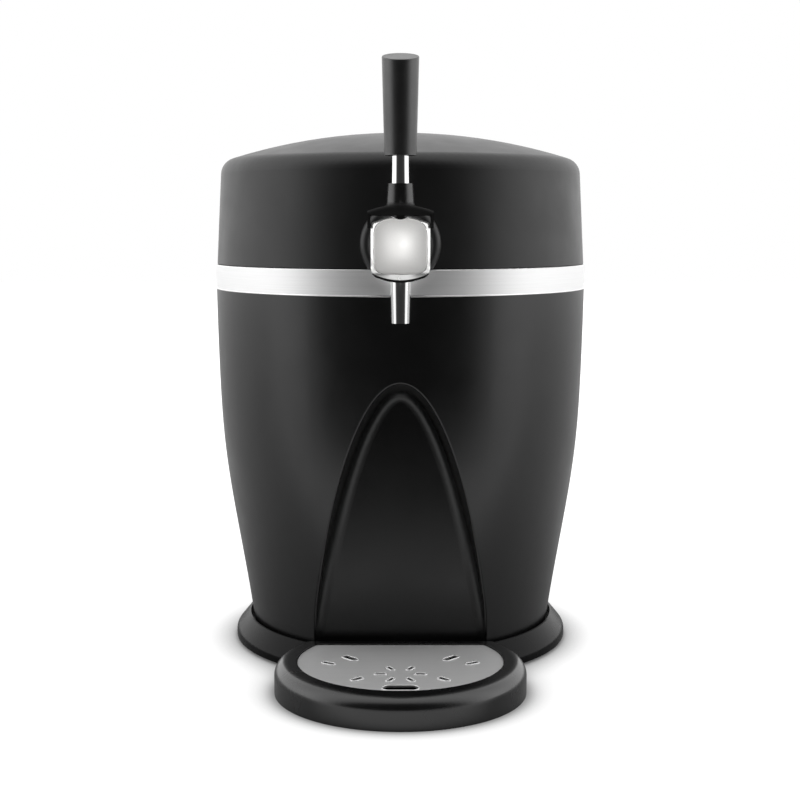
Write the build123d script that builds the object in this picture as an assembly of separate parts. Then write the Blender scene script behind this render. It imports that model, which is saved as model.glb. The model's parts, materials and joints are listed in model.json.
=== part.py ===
from build123d import *
import math
import os

# Tabletop beer dispenser for a 5 litre mini keg: a barrel-shaped cooler with a hinged lid, a lever tap and
# a round drip tray. Millimetres. The origin is on the barrel's axis at table level, +Z up, front towards -Y.

os.makedirs("parts", exist_ok=True)

# ---------------------------------------------------------------- driving sizes

# The keg and its well
keg_diameter = 171.0
keg_clearance = 2.5
well_wall = 1.0
well_flange_width = 4.0
well_flange_thickness = 1.0
well_depth = 249.0
floor_pad_thickness = 19.0

# The barrel, a turned shell drawn through five rings, widest at its rim
shell_wall = 3.0
body_depth = 46.2
shoulder_inset = 1.4
swell_inset = 4.6
waist_inset = 15.4
foot_inset = 25.0
shoulder_share = 0.7567
swell_share = 0.5416
waist_share = 0.2493
rim_ledge_width = 5.0
rim_ledge_thickness = 3.0

# The bright band around the rim
band_height = 17.2
band_thickness = 1.2
band_edge_round = 0.5

# The recess for the glass
scoop_wall = 2.5
scoop_well_gap = 1.0
scoop_apex_drop = 84.3
scoop_half_width = 64.5
scoop_wall_slope = 0.25
scoop_corner_round = 9.0
scoop_rim_round = 1.4
scoop_reach = 58.0

# The plinth
foot_height = 4.0
foot_ring_width = 4.5
foot_ring_inset = 0.5
foot_ring_round = 0.8
foot_ring_end = 3.0
plinth_spread = 13.8
plinth_floor = 3.0
plinth_lift = 1.5
plinth_side_height = 7.0
plinth_lip_spread = 4.6
plinth_lip_z = 18.2
plinth_lip_width = 1.3
plinth_ledge_z = 10.0
plinth_ledge_width = 6.0
plinth_skin = 3.0
plinth_shoulder_round = 6.0
base_screw_inset = 6.7
base_screw_radius = 2.0
base_boss_radius = 4.5
base_boss_height = 12.0

# The deck around the well's mouth
deck_thickness = 3.0
deck_drop = 3.3
deck_fit = 0.2
lid_gasket_width = 5.0
gasket_to_lid = 0.3

# Insulation
jacket_to_sink = 0.5
jacket_to_scoop = 0.4

# The lid
lid_gap = 1.0
lid_inset = 0.8
lid_lean = 4.0
lid_side_height = 72.7
lid_crown_rise = 21.4
lid_corner_round = 12.0
lid_wall = 3.0
liner_wall = 2.0
liner_clearance = 2.0
liner_top_rise = 59.0
liner_lift = 0.5
lid_boss_radius = 4.5
lid_boss_inset = 16.4
lid_screw_radius = 1.75
tap_surround_radius = 26.3
tap_surround_rise = 16.0
tap_surround_reach = 6.6
tap_surround_round = 5.5
arm_screw_rise = 20.0
arm_screw_spacing = 20.0
arm_screw_room = 6.0

# The lid's hinge
hinge_behind_rim = 11.8
hinge_below_lid = 8.3
hinge_knuckle_radius = 7.0
hinge_pin_radius = 2.5
hinge_pin_play = 0.06
hinge_half_width = 30.0
hinge_arm_half_width = 18.0
hinge_side_play = 0.5
hinge_arm_height = 30.0
hinge_arm_thickness = 5.0
hinge_base_height = 10.0
hinge_base_front = 8.0
hinge_base_rear = 10.0
hinge_screw_spacing = 18.0
hinge_screw_depth = 11.0

# The tap
tap_axis_rise = 10.7
neck_radius = 11.0
neck_slot_play = 0.9
shank_radius = 8.0
valve_bore_radius = 6.0
valve_seat_radius = 4.2
tap_block_half_width = 17.0
tap_block_gap = 4.0
tap_block_depth = 18.0
tap_block_bottom_drop = 7.7
tap_block_top_rise = 32.5
cap_half_width = 18.6
cap_height = 40.1
cap_arch = 4.4
cap_depth = 10.0
cap_front_skin = 5.0
cap_side_skin = 1.4
cap_corner_round = 2.5
cap_bevel = 1.3
cap_bottom_drop = 5.9
face_half_width = 17.0
face_height = 33.6
face_corner_round = 8.0
face_thickness = 1.8
face_proud = 0.5
face_play = 0.1
face_above_middle = 0.9
notch_radius = 7.0
notch_depth = 2.4
post_half_width = 18.0
post_depth = 15.0
post_inset = 11.4
post_above_axis = 14.0
tap_gasket_thickness = 0.6
nut_across_flats = 22.0
nut_thickness = 7.0
tail_radius = 4.5
tail_length = 10.0
tail_bore_radius = 3.0
bracket_screw_radius = 2.0
bracket_screw_spacing = 26.0

# The spout
spout_reach = 8.0
spout_top_radius = 6.8
spout_end_radius = 6.1
spout_wall = 1.2
spout_socket_depth = 7.0
spout_end_drop = 33.7

# The lever
lever_reach = 14.0
pivot_above_axis = 8.0
pivot_pin_radius = 2.0
pivot_play = 0.05
lever_tip_radius = 1.5
lever_travel_deg = 33.0
lever_web_thickness = 5.2
lever_web_depth = 5.5
lever_hub_radius = 3.6
web_slot_play = 0.4
web_end_play = 1.0
hood_half_width = 20.6
hood_side_clearance = 0.4
hood_arch = 3.8
hood_top_rise = 22.0
hood_skirt_rise = 7.6
hood_front_reach = 8.5
hood_rear_reach = 9.0
hood_inner_radius = 17.8
hood_edge_round = 2.5
collar_height = 13.2
collar_base_radius = 9.0
collar_top_radius = 7.95
stem_length = 17.2
stem_base_radius = 5.7
stem_top_radius = 5.4
stem_stud_radius = 4.0
stem_stud_length = 10.0
grip_length = 60.5
grip_base_radius = 10.1
grip_top_radius = 11.6
grip_top_slant_deg = 16.0
grip_edge_round = 0.6

# The valve
plunger_radius = 3.0
plunger_stem_radius = 2.2
plunger_play = 0.05
plunger_head_radius = 5.2
plunger_head_length = 3.0
plunger_seal_thickness = 1.2
plunger_neck_reach = 5.6
valve_seat_reach = 5.0
spring_wire_radius = 0.5
spring_mean_radius = 4.2
spring_turns = 7

# The drip tray
tray_half_width = 83.8
tray_half_depth = 78.4
tray_reach = 47.8
tray_height = 21.0
tray_round = 9.0
tray_floor = 2.0
tray_skin = 3.0
tray_rim_width = 15.0
tray_ledge_width = 3.0
tray_gap = 0.6
sill_front = 7.4
sill_back = 10.7
sill_half_width = 68.0

# The drip plate, its slots placed from the tray's middle
plate_thickness = 1.2
plate_drop = 1.0
plate_gap = 0.4
plate_back_reach = 13.5
plate_corner_round = 3.0
rear_slot_x = 33.6
rear_slot_y = 5.0
rear_slot_turn_deg = 45.0
rear_slot_length = 13.5
rear_slot_width = 5.6
outer_slot_x = 47.5
outer_slot_y = -5.8
outer_slot_turn_deg = 30.0
outer_slot_length = 10.0
outer_slot_width = 4.2
front_slot_x = 27.7
front_slot_y = -38.0
front_slot_turn_deg = -40.0
front_slot_length = 9.5
front_slot_width = 4.6
glass_slot_y = -28.0
glass_slot_ring = 13.0
glass_slot_length = 8.0
glass_slot_width = 3.6
glass_slot_count = 6
finger_slot_y = -55.1
finger_slot_length = 23.5
finger_slot_width = 9.5

# The cooling pack behind the well
cooler_z = 125.0
cold_block_width = 50.0
cold_block_height = 72.0
cold_block_reach = 13.0
peltier_side = 40.0
peltier_thickness = 4.0
sink_side = 90.0
sink_base = 6.0
sink_fin_length = 26.0
sink_fin_thickness = 1.5
sink_fin_count = 12
cooler_screw_rise = 28.0
cooler_screw_radius = 1.5
fan_side = 80.0
fan_depth = 15.0
fan_bore_radius = 37.5
fan_hub_radius = 16.0
fan_blade_radius = 36.3
fan_blade_count = 7
fan_blade_pitch_deg = 38.0
fan_blade_thickness = 1.4
fan_blade_root = 0.7
fan_shaft_radius = 1.5
fan_shaft_play = 0.05
fan_bearing_radius = 3.5
fan_hole_spacing = 71.5
fan_screw_radius = 1.9
window_margin = 3.5
sensor_radius = 2.5
sensor_z = 200.0

# The housing on the back
housing_half_width = 75.0
housing_behind_fan = 12.0
housing_bottom = 22.0
housing_top = 250.0
housing_wall = 2.5
housing_corner_round = 14.0
housing_edge_round = 4.0
vent_radius = 36.0
vent_slot = 3.0
vent_pitch = 6.0
side_vent_length = 26.0
side_vent_count = 9
housing_screw_x = 62.0
housing_screw_inset = 13.0
housing_screw_radius = 2.0
housing_boss_radius = 5.0
screw_head_radius = 3.8
small_head_radius = 3.2
screw_head_height = 2.4
board_width = 88.0
board_height = 62.0
board_thickness = 1.6
board_z = 206.0
board_standoff = 6.0
board_peg_radius = 3.0
board_peg_inset = 5.0
coil_x = -20.0
coil_z = 1.0
coil_width = 24.0
coil_height = 30.0
coil_depth = 13.0
capacitor_x = 16.0
capacitor_z = 14.0
capacitor_spacing = 16.0
capacitor_radius = 6.0
capacitor_depth = 12.0
relay_z = -14.0
relay_width = 28.0
relay_height = 12.0
relay_depth = 8.0
terminal_x = -22.0
terminal_z = -23.5
terminal_width = 16.0
terminal_height = 7.0
terminal_depth = 6.0
socket_x = -34.0
switch_x = 34.0
socket_z = 50.0
socket_width = 30.0
socket_height = 22.0
socket_depth = 18.0
socket_flange = 3.0
socket_flange_thickness = 2.0
socket_mouth_width = 24.0
socket_mouth_height = 16.0
socket_mouth_depth = 14.0
socket_pin_spacing = 14.0
socket_pin_length = 11.0
switch_width = 21.0
switch_height = 15.0
switch_depth = 14.0
switch_flange = 2.5
rocker_play = 0.4
rocker_pin_radius = 0.95
rocker_tilt_deg = 6.0

# ---------------------------------------------------------------- levels and places that follow

well_radius = keg_diameter / 2 + keg_clearance
well_outer = well_radius + well_wall
scoop_back = well_outer + scoop_well_gap + scoop_wall
pocket_back = scoop_back + sill_front
tray_back = pocket_back + tray_gap
tray_distance = scoop_back + tray_reach
plate_back = scoop_back + plate_back_reach
floor_z = foot_height + plinth_floor
pad_top = floor_z + floor_pad_thickness
deck_top = pad_top + well_depth
deck_bottom = deck_top - deck_thickness
rim_z = deck_top + deck_drop
scoop_apex_z = rim_z - scoop_apex_drop
rim_radius = well_outer + body_depth
barrel_foot_radius = rim_radius - foot_inset
plinth_radius = barrel_foot_radius + plinth_spread
plinth_lip_radius = barrel_foot_radius + plinth_lip_spread
base_screw_ring = barrel_foot_radius - base_screw_inset
foot_ring_radius = plinth_lip_radius - plinth_lip_width - foot_ring_inset
band_bottom = rim_z - band_height
band_inner = rim_radius - band_thickness
base_boss_top = plinth_ledge_z + base_boss_height
rim_inner = band_inner - shell_wall
lid_bottom = rim_z + lid_gap
lid_base_radius = rim_radius - lid_inset
lid_corner_radius = lid_base_radius - lid_lean
lid_boss_ring = lid_base_radius - lid_boss_inset
liner_radius = well_radius + liner_clearance
arm_screw_z = lid_bottom + arm_screw_rise
arm_screw_places = (-arm_screw_spacing / 2, arm_screw_spacing / 2)
lid_corner_z = lid_bottom + lid_side_height
crown_z = lid_corner_z + lid_crown_rise
liner_bottom = lid_bottom + liner_lift
liner_top = lid_bottom + liner_top_rise
gasket_inner = well_radius + well_flange_width + 2.0
gasket_outer = gasket_inner + lid_gasket_width
gasket_top = liner_bottom - gasket_to_lid
surround_z = lid_bottom + tap_surround_rise
surround_front = lid_base_radius + tap_surround_reach
post_front = lid_base_radius - post_inset
valve_seat_distance = post_front + valve_seat_reach
tap_block_back = surround_front + tap_block_gap
tap_block_front = tap_block_back + tap_block_depth
plunger_neck_end = tap_block_back + plunger_neck_reach
spout_distance = tap_block_back + spout_reach
lever_distance = tap_block_back + lever_reach
tap_z = lid_bottom + tap_axis_rise
pivot_z = tap_z + pivot_above_axis
block_bottom = lid_bottom - tap_block_bottom_drop
block_top = lid_bottom + tap_block_top_rise
cap_bottom = lid_bottom - cap_bottom_drop
cap_top = cap_bottom + cap_height
cap_back = tap_block_front - cap_front_skin
cap_front = cap_back + cap_depth
face_z = (cap_bottom + cap_top) / 2 + face_above_middle
notch_z = cap_top - notch_depth + notch_radius
post_back = post_front - post_depth
post_top = tap_z + post_above_axis
tail_end = post_back - nut_thickness - 1.0 - tail_length
hood_top = pivot_z + hood_top_rise
collar_top = hood_top + collar_height
stem_top = collar_top + stem_length
grip_top = stem_top + grip_length
hinge_y = rim_radius + hinge_behind_rim
hinge_z = lid_bottom - hinge_below_lid
cold_face = well_outer + cold_block_reach
sink_front = cold_face + peltier_thickness
jacket_radius = sink_front - jacket_to_sink
fin_start = sink_front + sink_base
fan_front = fin_start + sink_fin_length
fan_back = fan_front + fan_depth
housing_back = fan_back + housing_behind_fan
hinge_screw_x = hinge_screw_spacing / 2
hinge_base_top = housing_top + hinge_base_height
housing_inside = housing_back - housing_wall
notch_half_width = post_half_width + 3.5
notch_reach = well_outer - 1.5


# ---------------------------------------------------------------- helpers

def tube_up(radius, bottom, top, x=0.0, y=0.0):
    """Upright round bar between two heights."""
    standing = Cylinder(radius, top - bottom, align=(Align.CENTER, Align.CENTER, Align.MIN))
    return Pos(x, y, bottom) * standing


def ring_up(outer, inner, bottom, top, x=0.0, y=0.0):
    """Upright ring between two heights."""
    return tube_up(outer, bottom, top, x, y) - tube_up(inner, bottom - 1, top + 1, x, y)


def bar_y(radius, near, far, x=0.0, z=0.0):
    """Round bar along Y from y=near to y=far, near being the smaller."""
    lying = Cylinder(radius, far - near, align=(Align.CENTER, Align.CENTER, Align.MIN))
    return Pos(x, near, z) * Rot(X=-90) * lying


def bar_x(radius, left, right, y=0.0, z=0.0):
    """Round bar along X from x=left to x=right."""
    lying = Cylinder(radius, right - left, align=(Align.CENTER, Align.CENTER, Align.MIN))
    return Pos(left, y, z) * Rot(Y=90) * lying


def cone_up(low_radius, high_radius, bottom, top, x=0.0, y=0.0):
    """Upright tapered bar between two heights."""
    tapered = Cone(low_radius, high_radius, top - bottom, align=(Align.CENTER, Align.CENTER, Align.MIN))
    return Pos(x, y, bottom) * tapered


def block(x_low, x_high, y_low, y_high, z_low, z_high):
    """Box between two corners."""
    middle = Pos((x_low + x_high) / 2, (y_low + y_high) / 2, (z_low + z_high) / 2)
    return middle * Box(x_high - x_low, y_high - y_low, z_high - z_low)


def turned(points):
    """Solid turned around the Z axis from a closed outline of (radius, height) points."""
    outline = Polyline(*[(radius, 0, height) for radius, height in points], close=True)
    return revolve(make_face(outline), axis=Axis.Z)


def side_profile(points, x_low, x_high):
    """Straight prism along X from a closed outline of (y, z) points."""
    outline = Polyline(*[(x_low, y, z) for y, z in points], close=True)
    return extrude(make_face(outline), amount=x_high - x_low, dir=(1, 0, 0))


def on_ring(radius, angle_deg):
    """Point on a circle around the barrel's axis, the angle counted from +X."""
    angle = math.radians(angle_deg)
    return radius * math.cos(angle), radius * math.sin(angle)


def one_solid(shape):
    """The solid of a shape, cleaned of split faces."""
    return shape.clean().solids().sort_by(SortBy.VOLUME)[-1]


def together(pieces):
    """Separate solids of one kind as one node."""
    return Compound(children=[one_solid(piece) for piece in pieces])


def write(name, shape):
    export_step(shape, f"parts/{name}.step")


# ---------------------------------------------------------------- barrel and scoop

def barrel_rings(inset):
    """The barrel's outline as (radius, height) rings, moved in by inset."""
    height = band_bottom - plinth_ledge_z
    outside = rim_radius - inset
    return [
        (outside - foot_inset, plinth_ledge_z),
        (outside - waist_inset, plinth_ledge_z + height * waist_share),
        (outside - swell_inset, plinth_ledge_z + height * swell_share),
        (outside - shoulder_inset, plinth_ledge_z + height * shoulder_share),
        (outside, band_bottom),
    ]


def barrel_solid(inset):
    """Turned barrel up to the band's lower edge, its skin moved in by inset."""
    rings = barrel_rings(inset)
    skin = Spline(*[(radius, 0, height) for radius, height in rings])
    lowest, highest = rings[0], rings[-1]
    closing = Polyline(
        (highest[0], 0, highest[1]),
        (0, 0, highest[1]),
        (0, 0, lowest[1]),
        (lowest[0], 0, lowest[1]),
    )
    return revolve(make_face([skin, closing]), axis=Axis.Z)


def scoop_arch(distance, half_width, apex):
    """Upright face shaped like a parabola, standing at y = -distance on the table."""
    arch = Bezier(
        (-half_width, -distance, 0),
        (0, -distance, 2 * apex),
        (half_width, -distance, 0),
    )
    foot = Line((half_width, -distance, 0), (-half_width, -distance, 0))
    return make_face([arch, foot])


def scoop_cutter(grow):
    """Space of the glass recess. A grow above zero moves its walls and its back into the barrel."""
    spread = scoop_reach * scoop_wall_slope
    half_width = scoop_half_width + grow
    apex = scoop_apex_z + grow
    back = scoop_back - grow
    rear = scoop_arch(back, half_width, apex)
    front = scoop_arch(back + scoop_reach, half_width + spread, apex + spread)
    cutter = loft([rear, front], ruled=True)
    back_edges = cutter.edges().filter_by(GeomType.LINE, reverse=True).sort_by(Axis.Y)
    return fillet(back_edges[-1], scoop_corner_round)


def make_outer_shell():
    outside = barrel_solid(0) + tube_up(band_inner, band_bottom, rim_z)
    outside = outside - scoop_cutter(0)
    rim_edges = [
        edge for edge in outside.edges()
        if edge.geom_type != GeomType.CIRCLE
        and edge.length > scoop_apex_z
        and edge.center().Y < -scoop_back
    ]
    outside = fillet(rim_edges, scoop_rim_round)
    hollow = barrel_solid(shell_wall) + tube_up(rim_inner, band_bottom, rim_z + 1)
    hollow = hollow - scoop_cutter(scoop_wall)
    shell = outside - hollow
    ledge_bottom = deck_bottom - rim_ledge_thickness
    shell = shell + ring_up(rim_inner + 0.5, rim_inner - rim_ledge_width, ledge_bottom, deck_bottom)
    window = sink_side / 2 + window_margin
    shell = shell - block(-window, window, well_outer, housing_back, cooler_z - window, cooler_z + window)
    for angle in base_screw_angles:
        x, y = on_ring(base_screw_ring, angle)
        boss = tube_up(base_boss_radius, plinth_ledge_z, base_boss_top, x, y)
        rib = block(0, barrel_foot_radius - base_screw_ring - 1, -1.5, 1.5, plinth_ledge_z, base_boss_top)
        boss = boss + Pos(x, y, 0) * Rot(Z=angle) * rib
        boss = boss - tube_up(base_screw_radius, plinth_ledge_z - 1, base_boss_top - 2, x, y)
        shell = shell + boss
    for x in (-housing_screw_x, housing_screw_x):
        for z in housing_screw_levels:
            shell = shell - bar_y(housing_screw_radius, scoop_back, rim_radius, x, z)
    return shell


def make_trim_band():
    band = ring_up(rim_radius, band_inner, band_bottom, rim_z + 0.5)
    circles = band.edges().filter_by(GeomType.CIRCLE)
    outer_edges = [edge for edge in circles if abs(edge.radius - rim_radius) < 0.01]
    return fillet(outer_edges, band_edge_round)


base_screw_angles = (45, 135, 225, 315)
housing_screw_levels = (housing_bottom + housing_screw_inset, housing_top - housing_screw_inset)


# ---------------------------------------------------------------- plinth

def make_base_plinth():
    ledge_inner = plinth_lip_radius - plinth_lip_width - plinth_ledge_width - 3.0
    lip_inner = plinth_lip_radius - plinth_lip_width
    skin = plinth_skin
    outline = [
        (0, foot_height),
        (ledge_inner - 1, foot_height),
        (lip_inner, foot_height),
        (plinth_radius - skin, plinth_side_height - 1),
        (plinth_radius - skin, plinth_lift),
        (plinth_radius, plinth_lift),
        (plinth_radius, plinth_side_height),
        (plinth_lip_radius, plinth_lip_z),
        (lip_inner, plinth_lip_z),
        (lip_inner, plinth_ledge_z),
        (ledge_inner, plinth_ledge_z),
        (ledge_inner, floor_z),
        (0, floor_z),
    ]
    plinth = turned(outline)
    shoulder = [
        edge for edge in plinth.edges().filter_by(GeomType.CIRCLE)
        if abs(edge.radius - plinth_radius) < 0.01 and abs(edge.center().Z - plinth_side_height) < 0.01
    ]
    plinth = fillet(shoulder, plinth_shoulder_round)
    sill_rear = -pocket_back + sill_back
    sill = block(-sill_half_width, sill_half_width, -pocket_back, sill_rear, foot_height, plinth_ledge_z)
    plinth = plinth + sill
    plinth = plinth - tray_oval(-tray_gap, -1, tray_height, pocket_back)
    for angle in base_screw_angles:
        x, y = on_ring(base_screw_ring, angle)
        plinth = plinth - tube_up(base_screw_radius + 0.2, 0, plinth_ledge_z + 1, x, y)
    return plinth


def make_foot_ring():
    """Rubber ring under the plinth, open in front where the tray slides in."""
    inner = foot_ring_radius - foot_ring_width
    ring = ring_up(foot_ring_radius, inner, 0, foot_height)
    low_edges = ring.edges().filter_by(GeomType.CIRCLE).group_by(Axis.Z)[0]
    ring = chamfer(low_edges, foot_ring_round)
    end = -(pocket_back - foot_ring_end)
    return ring - block(-plinth_radius, plinth_radius, -plinth_radius, end, -1, foot_height + 1)


def make_base_screws():
    screws = []
    for angle in base_screw_angles:
        x, y = on_ring(base_screw_ring, angle)
        shaft = tube_up(base_screw_radius, foot_height - 1, base_boss_top - 3, x, y)
        head = tube_up(screw_head_radius, foot_height - screw_head_height, foot_height, x, y)
        slot = block(x - 2.2, x + 2.2, y - 0.5, y + 0.5, 0, foot_height - screw_head_height + 1)
        screws.append(shaft + head - slot)
    return together(screws)


# ---------------------------------------------------------------- well, deck and insulation

def make_keg_well():
    return turned([
        (0, pad_top),
        (well_outer, pad_top),
        (well_outer, deck_top),
        (well_radius + well_flange_width, deck_top),
        (well_radius + well_flange_width, deck_top + well_flange_thickness),
        (well_radius, deck_top + well_flange_thickness),
        (well_radius, pad_top + well_wall),
        (0, pad_top + well_wall),
    ])


def make_floor_pad():
    pad = tube_up(well_outer + 9.0, floor_z, pad_top)
    front = -(pocket_back - sill_back - 0.3)
    return pad - block(-plinth_radius, plinth_radius, -plinth_radius, front, 0, pad_top + 1)


def make_insulation_jacket():
    outer = jacket_radius
    jacket = ring_up(outer, well_outer, pad_top, deck_bottom - rim_ledge_thickness - 0.5)
    jacket = jacket - scoop_cutter(scoop_wall + jacket_to_scoop)
    half = cold_block_width / 2 + 0.5
    tall = cold_block_height / 2 + 0.5
    jacket = jacket - block(-half, half, 0, 2 * outer, cooler_z - tall, cooler_z + tall)
    return jacket - bar_x(sensor_radius + 0.1, -2 * outer, -well_radius, 0, sensor_z)


def make_temperature_sensor():
    probe = bar_x(sensor_radius, -(jacket_radius + 1), -well_radius, 0, sensor_z)
    return probe - tube_up(well_outer, 0, rim_z)


def make_well_deck():
    deck = ring_up(rim_inner - deck_fit, well_outer + deck_fit, deck_bottom, deck_top)
    for x in (-bracket_screw_spacing / 2, bracket_screw_spacing / 2):
        deck = deck - tube_up(bracket_screw_radius + 0.2, 0, lid_bottom, x, post_screw_y)
    return deck


def make_lid_gasket():
    gasket = ring_up(gasket_outer, gasket_inner, deck_top, gasket_top)
    top_edges = gasket.edges().filter_by(GeomType.CIRCLE).group_by(Axis.Z)[-1]
    return fillet(top_edges, 1.2)


# ---------------------------------------------------------------- cooling pack

def make_cold_block():
    half = cold_block_width / 2
    tall = cold_block_height / 2
    body = block(-half, half, 0, cold_face, cooler_z - tall, cooler_z + tall)
    body = body - tube_up(well_outer, 0, rim_z)
    for z in cooler_screw_levels:
        body = body - bar_y(cooler_screw_radius, cold_face - 7, cold_face + 1, 0, z)
    return body.solids().sort_by(Axis.Y)[-1]


def make_peltier_module():
    half = peltier_side / 2
    return block(-half, half, cold_face, sink_front, cooler_z - half, cooler_z + half)


def make_heat_sink():
    half = sink_side / 2
    sink = block(-half, half, sink_front, fin_start, cooler_z - half, cooler_z + half)
    pitch = (sink_side - sink_fin_thickness) / (sink_fin_count - 1)
    for number in range(sink_fin_count):
        x = -half + number * pitch
        sink = sink + block(x, x + sink_fin_thickness, fin_start, fan_front, cooler_z - half, cooler_z + half)
    for z in cooler_screw_levels:
        sink = sink - bar_y(cooler_screw_radius + 0.2, sink_front - 1, fin_start + 1, 0, z)
    return sink


def make_cooler_screws():
    screws = []
    for z in cooler_screw_levels:
        shaft = bar_y(cooler_screw_radius, cold_face - 6, fin_start + 0.5, 0, z)
        screws.append(shaft + bar_y(2.7, fin_start, fin_start + 2, 0, z))
    return together(screws)


cooler_screw_levels = (cooler_z - cooler_screw_rise, cooler_z + cooler_screw_rise)


def fan_corners():
    step = fan_hole_spacing / 2
    return [(x, cooler_z + z) for x in (-step, step) for z in (-step, step)]


def make_fan_frame():
    half = fan_side / 2
    frame = block(-half, half, fan_front, fan_back, cooler_z - half, cooler_z + half)
    frame = fillet(frame.edges().filter_by(Axis.Y), 4)
    frame = frame - bar_y(fan_bore_radius, fan_front - 1, fan_back + 1, 0, cooler_z)
    spoke_start = fan_back - 3
    for angle in (0, 120, 240):
        spoke = block(fan_bearing_radius, fan_bore_radius + 1, spoke_start, fan_back, -1.5, 1.5)
        frame = frame + Pos(0, 0, cooler_z) * Rot(Y=angle) * spoke
    frame = frame + bar_y(fan_hub_radius - 2, spoke_start, fan_back, 0, cooler_z)
    frame = frame + bar_y(fan_bearing_radius, fan_front + 4, fan_back, 0, cooler_z)
    frame = frame - bar_y(fan_shaft_radius + fan_shaft_play, fan_front, fan_back - 1, 0, cooler_z)
    for x, z in fan_corners():
        frame = frame - bar_y(fan_screw_radius + 0.25, fan_front - 1, fan_back + 1, x, z)
    return frame


def make_fan_screws():
    screws = []
    for x, z in fan_corners():
        shaft = bar_y(fan_screw_radius, fan_front, fan_back + 0.5, x, z)
        screws.append(shaft + bar_y(3.2, fan_back, fan_back + 2, x, z))
    return together(screws)


def make_fan_rotor():
    start = fan_front + 1
    cup_end = fan_back - 4
    hub = bar_y(fan_hub_radius, start, cup_end, 0, cooler_z)
    hub = hub - bar_y(fan_hub_radius - 1.5, start + 2, cup_end + 1, 0, cooler_z)
    hub = hub + bar_y(fan_shaft_radius, start, cup_end + 1, 0, cooler_z)
    middle = (start + cup_end) / 2
    root = fan_hub_radius - fan_blade_root
    blade = Box(fan_blade_radius + 2 - root, fan_blade_thickness, cup_end - start + 4)
    blade = Pos((root + fan_blade_radius + 2) / 2, 0, 0) * Rot(X=fan_blade_pitch_deg) * blade
    disc = bar_y(fan_blade_radius, start - middle, cup_end - middle)
    blade = blade & disc
    for number in range(fan_blade_count):
        hub = hub + Pos(0, middle, cooler_z) * Rot(Y=number * 360 / fan_blade_count) * blade
    return hub


# ---------------------------------------------------------------- rear housing

def housing_block(inset, front):
    """Rounded box of the rear housing, its walls moved in by inset."""
    half = housing_half_width - inset
    body = block(-half, half, front, housing_back - inset, housing_bottom + inset, housing_top - inset)
    upright = body.edges().filter_by(Axis.Z).group_by(Axis.Y)[-1]
    body = fillet(upright, housing_corner_round - inset)
    if inset < housing_edge_round:
        rear = body.faces().sort_by(Axis.Y)[-1]
        body = fillet(rear.edges().filter_by(Axis.X), housing_edge_round - inset)
    return body


def vent_slots(y_low, y_high):
    """Level slots that fill a round field behind the fan."""
    count = int(vent_radius / vent_pitch)
    slots = []
    for number in range(-count, count + 1):
        rise = number * vent_pitch
        half = math.sqrt(max(vent_radius ** 2 - rise ** 2, vent_pitch ** 2))
        low = cooler_z + rise - vent_slot / 2
        slots.append(block(-half, half, y_low, y_high, low, low + vent_slot))
    return slots


def make_rear_housing():
    housing = housing_block(0, well_outer) - housing_block(housing_wall, well_outer - 1)
    peg_start = housing_inside - board_standoff
    head_start = housing_back - screw_head_height
    wide = housing_half_width + 1
    for x in (-housing_screw_x, housing_screw_x):
        for z in housing_screw_levels:
            housing = housing + bar_y(housing_boss_radius, well_outer, housing_inside + 1, x, z)
    peg_x = board_width / 2 - board_peg_inset
    peg_rise = board_height / 2 - board_peg_inset
    for x in (-peg_x, peg_x):
        for z in (board_z - peg_rise, board_z + peg_rise):
            housing = housing + bar_y(board_peg_radius, peg_start, housing_inside + 1, x, z)
    for x in (-hinge_screw_x, hinge_screw_x):
        low = housing_top - hinge_screw_depth - housing_wall
        housing = housing + tube_up(housing_boss_radius, low, housing_top - 1, x, hinge_y)
    housing = housing - barrel_solid(0)
    for slot in vent_slots(housing_inside - 1, housing_back + 1):
        housing = housing - slot
    side_y = housing_inside - housing_corner_round - side_vent_length
    for number in range(side_vent_count):
        z = cooler_z + (number - (side_vent_count - 1) / 2) * vent_pitch * 1.5
        housing = housing - block(-wide, wide, side_y, side_y + side_vent_length, z, z + vent_slot)
    for x in (-housing_screw_x, housing_screw_x):
        for z in housing_screw_levels:
            housing = housing - bar_y(housing_screw_radius + 0.2, well_outer - 1, housing_back + 1, x, z)
            housing = housing - bar_y(screw_head_radius + 0.4, head_start, housing_back + 1, x, z)
    for x in (-hinge_screw_x, hinge_screw_x):
        low = housing_top - hinge_screw_depth - 1
        housing = housing - tube_up(bracket_screw_radius, low, housing_top + 1, x, hinge_y)
    housing = housing - block(*socket_hole, housing_inside - 1, housing_back + 1, *socket_levels)
    housing = housing - block(*switch_hole, housing_inside - 1, housing_back + 1, *switch_levels)
    return housing


socket_hole = (socket_x - socket_width / 2, socket_x + socket_width / 2)
socket_levels = (socket_z - socket_height / 2, socket_z + socket_height / 2)
switch_hole = (switch_x - switch_width / 2, switch_x + switch_width / 2)
switch_levels = (socket_z - switch_height / 2, socket_z + switch_height / 2)


def make_housing_screws():
    screws = []
    for x in (-housing_screw_x, housing_screw_x):
        for z in housing_screw_levels:
            head = bar_y(screw_head_radius, housing_back - screw_head_height, housing_back - 0.1, x, z)
            shaft = bar_y(housing_screw_radius, scoop_back + 6, housing_back - 1, x, z)
            cross = block(x - 2.2, x + 2.2, housing_back - 1.2, housing_back + 1, z - 0.5, z + 0.5)
            cross = cross + block(x - 0.5, x + 0.5, housing_back - 1.2, housing_back + 1, z - 2.2, z + 2.2)
            screws.append(shaft + head - cross)
    return together(screws)


def board_part(x, rise, width, height, depth):
    """Block on the control board's front face, placed from the board's middle."""
    face = housing_inside - board_standoff - board_thickness
    z = board_z + rise
    return block(x - width / 2, x + width / 2, face - depth, face, z - height / 2, z + height / 2)


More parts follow.
